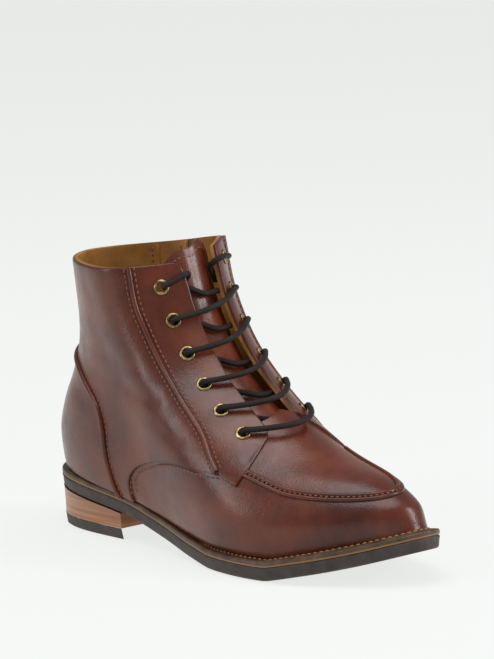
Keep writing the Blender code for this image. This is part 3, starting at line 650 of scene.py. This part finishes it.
def edged(share, count, length):
    """Even shares of a length, but with the panel's edge lines at both ends."""
    index = np.rint(share * count).astype(int)
    near = np.asarray(EDGE_ROWS)
    last = len(near) - 1
    low = near[np.clip(index, 0, last)] / length
    high = 1 - near[np.clip(count - index, 0, last)] / length
    inner_from = near[last] / length
    inner = inner_from + (1 - 2 * inner_from) * (index - last) / (count - 2 * last)
    return np.where(index <= last, low, np.where(index >= count - last, high, inner)), index


def panel_sheet(name, columns, rows, place_at, material, top=PANEL_TOP, relief=None):
    """A leather panel on the upper, with rounded edges that turn down to it."""
    made, u, v = grid(name, columns, rows)
    samples = np.linspace(0, 1, 41)
    su, sv = np.meshgrid(samples, samples)
    points = on_upper(*place_at(su, sv))
    wide = np.linalg.norm(np.diff(points, axis=1), axis=2).sum(axis=1)
    tall = np.linalg.norm(np.diff(points, axis=0), axis=2).sum(axis=0)
    width = np.maximum(np.interp(v, samples, wide), LEAST_SPAN)
    height = np.maximum(np.interp(u, samples, tall), LEAST_SPAN)
    u, i = edged(u, columns, width)
    v, j = edged(v, rows, height)
    edge = np.minimum.reduce([u * width, (1 - u) * width, v * height, (1 - v) * height])
    border = (i == 0) | (i == columns) | (j == 0) | (j == rows)
    round_off = EDGE_ROWS[-1]
    near = np.clip(1 - edge / round_off, 0, 1)
    out = top - EDGE_DROP * (1 - np.sqrt(1 - near ** 2 * EDGE_ROUND))
    out = np.where(border, 0.0, out)
    turn, rise = place_at(u, v)
    base = on_upper(turn, rise)
    if relief is not None:
        out = out + np.where(border, 0, relief(base))
    set_points(made, on_upper(turn, rise, out))
    # Distance from the panel's edge, which the leather reads to darken near it: burnish and painted
    # shade
    mark_points(made, "edge", edge)
    finish_mesh(made, material)
    return made


# Creases: troughs, listed one by one; width and depth in millimetres, a negative depth is a ridge
Crease = namedtuple("Crease", "side width depth points")
CREASES = (
    Crease(-1, 5.0, 0.7, ((100, .60), (88, .57), (76, .585), (68, .60))),
    Crease(-1, 6.0, 0.5, ((112, .70), (100, .67), (84, .68), (70, .70))),
    Crease(-1, 4.0, 0.5, ((84, .47), (75, .45), (67, .46))),
    Crease(-1, 3.0, 0.5, ((50, .40), (44, .44), (38, .475))),
    Crease(1, 5.0, 0.7, ((100, .60), (88, .57), (76, .585), (68, .60))),
)


def crease_relief(base):
    """How far the creases push the surface out at each point."""
    total = np.zeros(len(base))
    for crease in CREASES:
        turns = np.array([p[0] for p in crease.points], float)
        rises = np.array([p[1] for p in crease.points], float)
        fine = np.linspace(0, len(turns) - 1, CREASE_POINTS)
        marks = np.arange(len(turns))
        path = on_upper(crease.side * blend(marks, list(turns), fine), blend(marks, list(rises), fine))
        reach = np.full(len(base), 1e9)
        share = np.zeros(len(base))
        for k in range(len(path) - 1):
            run = path[k + 1] - path[k]
            t = np.clip(((base - path[k]) @ run) / (run @ run), 0, 1)
            gap = np.linalg.norm(base - path[k] - t[:, None] * run, axis=1)
            closer = gap < reach
            reach = np.where(closer, gap, reach)
            share = np.where(closer, (k + t) / (len(path) - 1), share)
        fade = np.sin(math.pi * np.clip(share, 0, 1)) ** 0.7
        total -= crease.depth * fade * np.exp(-(reach / crease.width) ** 2)
    return total


# Leather of the upper
def build_vamp(leather, lining):
    """The vamp and toe, one closed ring that runs up under the facings and the tongue."""
    columns, rows = 220, 70
    made, u, v = grid("vamp", columns, rows)
    turn = -180 + 360 * u
    front = np.clip(1 - np.abs(turn) / VAMP_FRONT_HALF, 0, 1)
    top = VAMP_SIDE_RISE + VAMP_FRONT_MORE * front ** 0.5
    rise = top * v
    base = on_upper(turn, rise)
    set_points(made, on_upper(turn, rise, crease_relief(base)))
    merge(made, 0.01)
    mark_points(made, "edge", PLAIN)
    thicken(made, WALL, leather, lining)
    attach(made, "boot")
    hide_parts("upper")
    return made


def thicken(made, thickness, outer, inner, rim=None):
    """Give an open sheet its wall, leather outside and lining inside and on the cut edge."""
    made.data.materials.append(outer)
    made.data.materials.append(inner)
    layer = made.modifiers.new("wall", "SOLIDIFY")
    layer.thickness = thickness * MM
    layer.offset = -1
    layer.material_offset = 1
    layer.material_offset_rim = 1 if rim is None else rim
    apply_modifiers(made)
    activate(made)
    bpy.ops.object.shade_smooth_by_angle(angle=math.radians(50))


def build_shaft(leather, lining):
    """The shaft's wall with its lining, from one facing's edge round the heel to the other."""
    lateral = FACING_LATERAL[-FACING_EDGE_ROWS:]
    medial = FACING_MEDIAL[-FACING_EDGE_ROWS:]
    rungs = [Rung(m.front_turn, m.front_rise, 360 - l.front_turn, l.front_rise)
             for m, l in zip(medial, lateral)]
    lowest = Rung(40, SHAFT_FOOT, 320, SHAFT_FOOT)
    made, u, v = grid("shaft_wall", 260, 90)
    turn, rise = ruled([lowest] + rungs, 1, u, v)
    middle = np.sin(math.pi * np.clip(u, 0, 1))
    rise = rise * (1 - middle) + middle * (SHAFT_FOOT + (1 - SHAFT_FOOT) * v)
    punched = punch_holes(made, turn, rise)
    set_points(made, on_upper(turn, rise, -0.02))
    mark_points(made, "edge", PLAIN)
    delete_faces(made, punched)
    cut_slot(made, NOTCH_HALF, ZIP_TOP[1] - NOTCH_DEEP)
    thicken(made, WALL, leather, lining)
    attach(made, "boot")
    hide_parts("upper")
    return made


def cut_slot(made, half, low):
    """Cut the zip's sloping slot, this wide to each side, from a height upward."""
    (top_x, top_z), (foot_x, foot_z) = ZIP_TOP, ZIP_FOOT
    lean = (top_x - foot_x) / (top_z - foot_z)
    shaped = bmesh.new()
    shaped.from_mesh(made.data)
    for place, normal in (((foot_x - half, 0, foot_z), (1, 0, -lean)),
                          ((foot_x + half, 0, foot_z), (1, 0, -lean)), ((0, 0, low), (0, 0, 1))):
        bmesh.ops.bisect_plane(shaped, geom=shaped.verts[:] + shaped.edges[:] + shaped.faces[:],
                               plane_co=Vector(place) * MM, plane_no=normal)
    gone = []
    for face in shaped.faces:
        x, y, z = face.calc_center_median() / MM
        if y > 0 and z > low and abs(x - foot_x - (z - foot_z) * lean) < half:
            gone.append(face)
    bmesh.ops.delete(shaped, geom=gone, context="FACES")
    shaped.to_mesh(made.data)
    shaped.free()


def eyelet_seats():
    for number, row in enumerate(EYELETS, start=1):
        yield f"eyelet_lateral_{number}", row.lateral_turn, row.rise
        yield f"eyelet_medial_{number}", row.medial_turn, row.medial_rise


def punch_holes(made, turn, rise):
    """Which faces lie within an eyelet's hole."""
    base = on_upper((turn + 180) % 360 - 180, rise)
    near = np.full(len(base), 1e9)
    for _, eyelet_turn, eyelet_rise in eyelet_seats():
        near = np.minimum(near, np.linalg.norm(base - on_upper(eyelet_turn, eyelet_rise), axis=1))
    return [f.index for f in made.data.polygons
            if max(near[k] for k in f.vertices) < EYELET_HOLE + PUNCH_ROOM]


def delete_faces(made, faces):
    chosen = set(faces)
    shaped = bmesh.new()
    shaped.from_mesh(made.data)
    gone = [f for f in shaped.faces if f.index in chosen]
    bmesh.ops.delete(shaped, geom=gone, context="FACES")
    shaped.to_mesh(made.data)
    shaped.free()


def build_panels(leather):
    for side, word, facing in ((-1, "lateral", FACING_LATERAL), (1, "medial", FACING_MEDIAL)):
        def quarter_at(u, v, side=side):
            return ruled(QUARTER, side, u if side < 0 else 1 - u, v)

        def facing_at(u, v, side=side, facing=facing):
            return ruled(facing, side, u if side < 0 else 1 - u, v)

        quarter = panel_sheet("quarter_panel_" + word, 130, 120, quarter_at, leather,
                              relief=crease_relief)
        if side > 0:
            cut_slot(quarter, SLOT_HALF, ZIP_FOOT[1])
        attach(quarter, "boot")
        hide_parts("quarter_" + word)
        stay = panel_sheet("facing_" + word, 60, 150, facing_at, leather, relief=crease_relief)
        co = np.empty(len(stay.data.vertices) * 3)
        stay.data.vertices.foreach_get("co", co)
        co = co.reshape(-1, 3) / MM
        seats = [np.array(on_upper(t, r, PANEL_TOP)) for _, t, r in eyelet_seats()]
        near = np.min([np.linalg.norm(co - s, axis=1) for s in seats], axis=0)
        delete_faces(stay, [f.index for f in stay.data.polygons
                            if max(near[k] for k in f.vertices) < EYELET_HOLE + PUNCH_ROOM])
        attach(stay, "boot")
        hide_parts("eyestay_" + word)

    mirrored = [Rung(360 - r.back_turn, r.back_rise, 360 - r.front_turn, r.front_rise)
                for r in COUNTER[-2::-1]]

    def counter_at(u, v):
        return ruled(list(COUNTER) + mirrored, 1, v, u)

    counter = panel_sheet("counter_panel", 160, 80, counter_at, leather)
    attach(counter, "boot")
    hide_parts("heel_counter")


# Cords, seams and stitches
def tube(name, points, radius, material, sides=12):
    """A round cord along smooth points, as a mesh with its length in u."""
    curve = bpy.data.curves.new(name, "CURVE")
    curve.dimensions = "3D"
    curve.bevel_depth = radius * MM
    curve.bevel_resolution = max(0, sides // 2 - 2)
    curve.use_fill_caps = True
    spline = curve.splines.new("POLY")
    spline.points.add(len(points) - 1)
    for point, place in zip(spline.points, points):
        point.co = (*(np.asarray(place) * MM), 1)
    made = bpy.data.objects.new(name, curve)
    bpy.context.scene.collection.objects.link(made)
    activate(made)
    bpy.ops.object.convert(target="MESH")
    made = bpy.context.object
    mark_points(made, "edge", PLAIN)
    finish_mesh(made, material)
    return made


def seam_line(seam, side, steps, out=0.0, shift=0.0):
    """A seam's points, moved to its left by the shift along the surface."""
    marks = np.arange(len(seam))
    fine = np.linspace(0, len(seam) - 1, steps)
    turns = side * blend(marks, [s.turn for s in seam], fine)
    rises = blend(marks, [s.rise for s in seam], fine)
    points = on_upper(turns, rises, out)
    normals = upper_normals(turns, rises)
    run = np.gradient(points, axis=0)
    run /= np.linalg.norm(run, axis=1, keepdims=True)
    points = points + np.cross(normals, run) * shift
    return points, normals


def even(points, normals, spacing):
    """Points at even spacing along a line, with their normals and directions."""
    steps = np.linalg.norm(np.diff(points, axis=0), axis=1)
    marks = np.concatenate([[0], np.cumsum(steps)])
    count = max(2, int(marks[-1] / spacing))
    at = (np.arange(count) + 0.5) * marks[-1] / count
    place = np.stack([np.interp(at, marks, points[:, k]) for k in range(3)], -1)
    normal = np.stack([np.interp(at, marks, normals[:, k]) for k in range(3)], -1)
    ahead = np.stack([np.interp(at + 0.3, marks, points[:, k]) for k in range(3)], -1) - place
    return place, normal, ahead


def unit(vectors):
    return vectors / np.linalg.norm(vectors, axis=-1, keepdims=True)


def stitches(name, lines, material, spacing=3.0, length=2.3, radius=0.42, sink=0.0):
    """One sewn line after another, each stitch a small round bead of thread."""
    deselect()
    bpy.ops.mesh.primitive_uv_sphere_add(segments=8, ring_count=6, radius=1)
    bead = bpy.context.object
    shape = np.array([v.co for v in bead.data.vertices]) * (length / 2, radius, radius)
    sides = [tuple(p.vertices) for p in bead.data.polygons]
    bpy.data.objects.remove(bead, do_unlink=True)
    clusters = []
    for points, normals in lines:
        place, normal, ahead = even(points, normals, spacing)
        x = unit(ahead)
        y = unit(np.cross(normal, x))
        z = np.cross(x, y)
        clusters.append(shape @ np.stack([x, y, z], 1) + (place - z * sink)[:, None])
    beads = np.concatenate(clusters)
    faces = [tuple(k * len(shape) + i for i in face) for k in range(len(beads)) for face in sides]
    made = bpy.data.objects.new(name, bpy.data.meshes.new(name))
    made.data.from_pydata((beads.reshape(-1, 3) * MM).tolist(), [], faces)
    bpy.context.scene.collection.objects.link(made)
    finish_mesh(made, material)
    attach(made, "boot")
    return made


LINING_SEAM_TURN = 127
LINING_SEAM_RISES = (0.62, 0.985)
LINING_CORD = 0.7
LINING_STITCH_TURNS = (91, 108.5, 132)


def build_lining_seams(lining, thread):
    """The upright seam inside the collar, and the rows of stitches beside it and the zip."""
    rises = np.linspace(*LINING_SEAM_RISES, 40)
    turns = np.full(40, LINING_SEAM_TURN)
    seam = tube("lining_seam", on_upper(turns, rises, -WALL), LINING_CORD, lining)
    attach(seam, "boot")
    rows = [(on_upper(turns * 0 + turn, rises, -WALL - 0.05), upper_normals(turns * 0 + turn, rises))
            for turn in LINING_STITCH_TURNS]
    stitches("lining_stitches", rows, thread, radius=0.4)


def build_seams(leather, thread):
    top = PANEL_TOP
    for side, word in ((-1, "lateral"), (1, "medial")):
        points, _ = seam_line(STRIP_SEAM, side, 70, top + STRIP_CORD_LIFT)
        cord = tube("strip_cord_" + word, points, STRIP_CORD, leather)
        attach(cord, "boot")
        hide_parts("strip_piping_" + word)
        rows = [seam_line(STRIP_SEAM, side, 70, top, shift * side) for shift in STRIP_ROWS]
        stitches("strip_stitches_" + word, rows, thread)

    lateral, _ = seam_line(COUNTER_SEAM, -1, 70, top + COUNTER_CORD_LIFT)
    medial, _ = seam_line(COUNTER_SEAM, 1, 70, top + COUNTER_CORD_LIFT)
    cord = tube("counter_cord", np.vstack([medial[::-1], lateral[1:]]), COUNTER_CORD, leather)
    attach(cord, "boot")
    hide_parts("counter_piping")
    stitches("counter_stitches", [seam_line(COUNTER_SEAM, -1, 70, top, COUNTER_ROW),
                                  seam_line(COUNTER_SEAM, 1, 70, top, -COUNTER_ROW)], thread)
    arch = [Seam(r.front_turn, r.front_rise) for r in QUARTER[1:9]]
    stitches("arch_stitches", [seam_line(arch, -1, 60, top, -ARCH_ROW),
                               seam_line(arch, 1, 60, top, ARCH_ROW)], thread)

    for name, shift, radius in APRON_RIDGES:
        points, _ = seam_line(APRON_SEAM, 1, 90, RIDGE_LIFT, shift)
        cord = tube(name, points, radius, leather)
        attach(cord, "boot")
        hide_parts("apron_seam")
    stitches("apron_stitches", [seam_line(APRON_SEAM, 1, 90, APRON_STITCH_LIFT)], thread,
             spacing=2.8, length=2.1, radius=0.4)


# Tongue: rises of its foot and of the rest, how far its corners drop, its hem, and its depth;
# half its width at the foot, and how much wider each side grows, in degrees
TONGUE_FOOT = 0.50
TONGUE_RISE = 0.535
TONGUE_ARCH = 0.06
HEM_AT = 0.965
TONGUE_FACE = WALL + 0.4 + TONGUE_DEPTH
TONGUE_HALF = 20
TONGUE_LATERAL = 19
TONGUE_MEDIAL = 17


def build_tongue(leather, lining, thread):
    made, u, v = grid("tongue_leather", 60, 90)
    across = 2 * u - 1
    up = v
    base = TONGUE_FOOT + TONGUE_RISE * up
    spread = np.minimum(1, up * 1.5)
    half = TONGUE_HALF + np.where(across < 0, TONGUE_LATERAL, TONGUE_MEDIAL) * spread
    depth = TONGUE_FACE - TONGUE_DEPTH * (1 - np.minimum(1, np.maximum(0.03, up * 9 - 0.2)))
    arch = base - TONGUE_ARCH * across ** 4 * up ** 2
    set_points(made, on_upper(across * half, arch, -depth))
    mark_points(made, "edge", PLAIN)
    thicken(made, TONGUE_THICK, leather, lining, rim=0)
    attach(made, "boot")
    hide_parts("tongue")
    share = np.linspace(-0.95, 0.95, 60)
    turns = share * (TONGUE_HALF + np.where(share < 0, TONGUE_LATERAL, TONGUE_MEDIAL))
    rises = TONGUE_FOOT + TONGUE_RISE * HEM_AT - TONGUE_ARCH * share ** 4
    stitches("tongue_stitches", [(on_upper(turns, rises, -TONGUE_FACE),
                                  upper_normals(turns, np.minimum(rises, 1.0)))], thread,
             radius=0.4)


# Eyelets and lace
def build_eyelets(brass):
    for name, turn, rise in eyelet_seats():
        place, facing = seat_at(turn, rise, PANEL_TOP + RIM_LIFT)
        deselect()
        bpy.ops.mesh.primitive_torus_add(major_segments=36, minor_segments=12,
                                         major_radius=(EYELET_RIM + EYELET_HOLE) / 2 * MM,
                                         minor_radius=(EYELET_RIM - EYELET_HOLE) / 2 * MM)
        ring = bpy.context.object
        ring.name = name + "_ring"
        flatten = Matrix.Diagonal((1, 1, RIM_FLATNESS, 1))
        ring.data.transform(Matrix.Translation(place * MM) @ facing.to_4x4() @ flatten)
        finish_mesh(ring, brass)
        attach(ring, "boot")
        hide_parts(name)


LACE_LIFT = 0.9         # between a panel's face and the lace on it
BAR_POINTS = 17
LEVEL_SHARE = 0.15      # of a bar, level at its inner end
LACE_ROOM = 0.3         # between the lining and the lace under it
CROSS_POINTS = 13
CROSS_INSET = 6         # degrees from an eyelet to the start of a slanted run
CROSS_ABOVE = 0.01
# Each end leaves its top eyelet, crosses the facing, wraps over its edge and is tucked behind it:
# degrees round, rise, and distance out from the upper
LACE_ENDS = (
    ("lateral", ((-39.5, .940, 3.9), (-35, .946, 3.9), (-30, .953, 3.9), (-25, .960, 3.9),
                 (-20.5, .966, 3.6), (-17.5, .968, 1.6), (-17.0, .964, -1.2), (-19.5, .955, -3.7),
                 (-24, .935, -4.0), (-29, .910, -4.1))),
    ("medial", ((42, .955, 3.9), (38, .958, 3.9), (34, .962, 3.9), (29, .966, 3.9),
                (25, .968, 3.6), (22.3, .968, 1.6), (21.8, .964, -1.2), (24, .955, -3.7),
                (28, .935, -4.0), (33, .910, -4.1))),
)


def lace_path():
    """The lace between its two ends: bars over the facings, slanted runs under them."""
    over = PANEL_TOP + LACE_LIFT + LACE_RADIUS
    under = -WALL - LACE_ROOM - LACE_RADIUS
    points = []
    for number, row in enumerate(EYELETS):
        if number:
            turns = np.linspace(row.medial_turn, row.lateral_turn, BAR_POINTS)
            bar = on_upper(turns, np.linspace(row.medial_rise, row.rise, BAR_POINTS), over)
            climb = np.clip((np.linspace(0, 1, BAR_POINTS) - LEVEL_SHARE) / (1 - LEVEL_SHARE), 0, 1)
            bar[:, 2] = bar[0, 2] + (bar[-1, 2] - bar[0, 2]) * climb
            points.extend(bar)
            points.append(on_upper(row.lateral_turn, row.rise, 0.0))
        if number < len(EYELETS) - 1:
            below = EYELETS[number + 1]
            start, end = row.lateral_turn + CROSS_INSET, below.medial_turn - CROSS_INSET
            for share in np.linspace(0, 1, CROSS_POINTS):
                turn = start + (end - start) * share
                rise = row.rise + (below.medial_rise - row.rise) * share + CROSS_ABOVE
                points.append(on_upper(turn, rise, under))
            points.append(on_upper(below.medial_turn, below.medial_rise, 0.0))
    return np.array(points, float)


def smooth_line(points, per_span=4):
    marks = np.arange(len(points))
    fine = np.linspace(0, len(points) - 1, (len(points) - 1) * per_span + 1)
    return np.stack([blend(marks, list(points[:, k]), fine) for k in range(3)], -1)


def build_lace(cord_material):
    lace = tube("lace", smooth_line(lace_path(), 3), LACE_RADIUS, cord_material, 10)
    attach(lace, "boot")
    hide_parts(*[f"lace_bar_{n}" for n in range(2, 7)],
                *[f"lace_cross_{n}" for n in range(1, 6)])
    for word, ends in LACE_ENDS:
        turns, rises, outs = np.array(ends, float).T
        path = smooth_line(on_upper(turns, rises, outs), 4)
        end = tube("lace_tail_" + word, path, LACE_RADIUS, cord_material, 10)
        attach(end, "boot")
        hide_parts("lace_end_" + word)


# Sole
def outline(inset, count=140, stop=1.0):
    """The sole's outline from the breast or toe round the heel, moved inward by the inset."""
    angles = np.linspace(0, math.acos(1 - 2 * stop), count)
    along = (1 - np.cos(angles)) / 2
    sides = []
    for side, column in ((-1, "lateral"), (1, "medial")):
        half = sole_column(column, along) * 2 * np.sqrt(np.clip(along * (1 - along), 0, None))
        half = half - inset * np.minimum(1, half / INSET_FULL)
        centre = SWING * np.clip((along - SWING_FROM) / (1 - SWING_FROM), 0, None) ** 2
        sides.append(np.stack([BACK_X + inset + (LENGTH - 2 * inset) * along,
                               centre + side * half, along], -1))
    return np.vstack([sides[0][::-1], sides[1][1:]])


def sole_layer(name, rows, material, stop=1.0, close=True):
    """A layer of the sole from rings: each has its inset and the height at a share of the length."""
    rings = []
    for inset, height in rows:
        ring = outline(inset, stop=stop)
        rings.append(np.stack([ring[:, 0], ring[:, 1], height(ring[:, 2])], -1))
    count = len(rings[0])
    made, u, v = grid(name, count - 1, len(rings) - 1)
    column = np.rint(u * (count - 1)).astype(int)
    row = np.rint(v * (len(rings) - 1)).astype(int)
    table = np.array(rings)
    set_points(made, table[row, column])
    mark_points(made, "level", table[row, column, 2] - table[0, column, 2])
    merge(made, 0.005)
    if close:
        shaped = bmesh.new()
        shaped.from_mesh(made.data)
        edges = [e for e in shaped.edges if e.is_boundary]
        bmesh.ops.holes_fill(shaped, edges=edges, sides=0)
        bmesh.ops.recalc_face_normals(shaped, faces=shaped.faces)
        shaped.to_mesh(made.data)
        shaped.free()
    finish_mesh(made, material, 40)
    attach(made, "boot")
    return made


def build_sole(rubber, welt_material, stack_material, pale_thread):
    def top(along):
        return tread(along) + SOLE_THICK

    outsole = sole_layer("outsole_body", (
        (1.8, lambda a: tread(a)), (0.9, lambda a: tread(a) + 0.5), (0.5, lambda a: tread(a) + 1.4),
        (0.2, lambda a: top(a) - 1.6), (0.0, lambda a: top(a) - 0.7), (0.3, lambda a: top(a) - 0.05),
        (1.2, top)), rubber)
    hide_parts("outsole")

    welt = sole_layer("welt_body", (
        (0.6, lambda a: top(a) + 0.05), (0.1, lambda a: top(a) + 0.4), (0.0, lambda a: top(a) + 1.6),
        (0.15, lambda a: top(a) + 2.7), (0.7, lambda a: top(a) + WELT_THICK),
        (WELT_WIDTH, lambda a: top(a) + WELT_THICK), (WELT_WIDTH, lambda a: top(a) + 0.1)),
        welt_material, close=False)
    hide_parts("welt")

    stack = sole_layer("heel_stack_body", (
        (HEEL_TAPER * 0.7, lambda a: 0 * a + LIFT_THICK), (0.5, lambda a: tread(a) - 0.3),
        (0.4, lambda a: tread(a) - 0.05)), stack_material, BREAST)
    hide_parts("heel_stack")
    lift = sole_layer("top_lift_body", (
        (HEEL_TAPER + 0.5, lambda a: 0 * a), (HEEL_TAPER, lambda a: 0 * a + 0.5),
        (HEEL_TAPER * 0.6, lambda a: 0 * a + LIFT_THICK - 0.05)), rubber, BREAST)
    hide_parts("top_lift")

    ring = outline(WELT_ROW)
    points = np.stack([ring[:, 0], ring[:, 1], top(ring[:, 2]) + WELT_THICK + 0.05], -1)
    normals = np.tile([0.0, 0.0, 1.0], (len(points), 1))
    stitches("welt_stitches", [(points, normals)], pale_thread, spacing=3.2, radius=0.4)


# Zip
ZIP_RISES = (0.86, 0.12)    # first and last of the teeth
ZIP_TURNS = (62, 118)       # degrees between which its middle is looked for
ZIP_FACE = 1.6              # height of the teeth over the upper
ZIP_POINTS = 60
TEETH_APART = 1.4


def build_zip(brass, tape):
    for name in ("zip_slider", "zip_pull"):
        node = bpy.data.objects[name]
        node.material_slots[0].material = brass
    bpy.data.objects["zip_tape"].material_slots[0].material = tape
    (top_x, top_z), (foot_x, foot_z) = ZIP_TOP, ZIP_FOOT
    turns, rises = np.meshgrid(np.linspace(*ZIP_TURNS, 561), np.linspace(*ZIP_RISES, ZIP_POINTS))
    points = on_upper(turns, rises)
    lean = (top_x - foot_x) / (top_z - foot_z)
    miss = np.abs(points[..., 0] - foot_x - (points[..., 2] - foot_z) * lean)
    middle = turns[np.arange(ZIP_POINTS), miss.argmin(axis=1)]
    line = on_upper(middle, rises[:, 0], ZIP_FACE)
    normals = upper_normals(middle, rises[:, 0])
    across = unit(np.cross(normals, np.gradient(line, axis=0)))
    stitches("zip_teeth", [(line + across * side * TEETH_APART / 2, normals) for side in (-1, 1)], brass,
             spacing=2.0, length=1.2, radius=0.75, sink=0.3)


leather = polished_leather("polished_calf", "#431B10", "#602A19", "#713822", 0.30, 0.45)
lining = lining_leather()
rubber = moulded_rubber()
welt_material = welt_leather()
stack_material = stacked_leather()
brass = aged_brass()
cord_material = waxed_cord()
tape = woven_tape()
thread = plain_thread("brown_thread", "#7A4A32")
pale_thread = plain_thread("tan_thread", "#A8713F")

studio()
build_vamp(leather, lining)
build_shaft(leather, lining)
build_panels(leather)
build_seams(leather, thread)
build_lining_seams(lining, thread)
build_tongue(leather, lining, thread)
build_eyelets(brass)
build_lace(cord_material)
build_sole(rubber, welt_material, stack_material, pale_thread)
build_zip(brass, tape)
bpy.data.objects["insole"].material_slots[0].material = lining
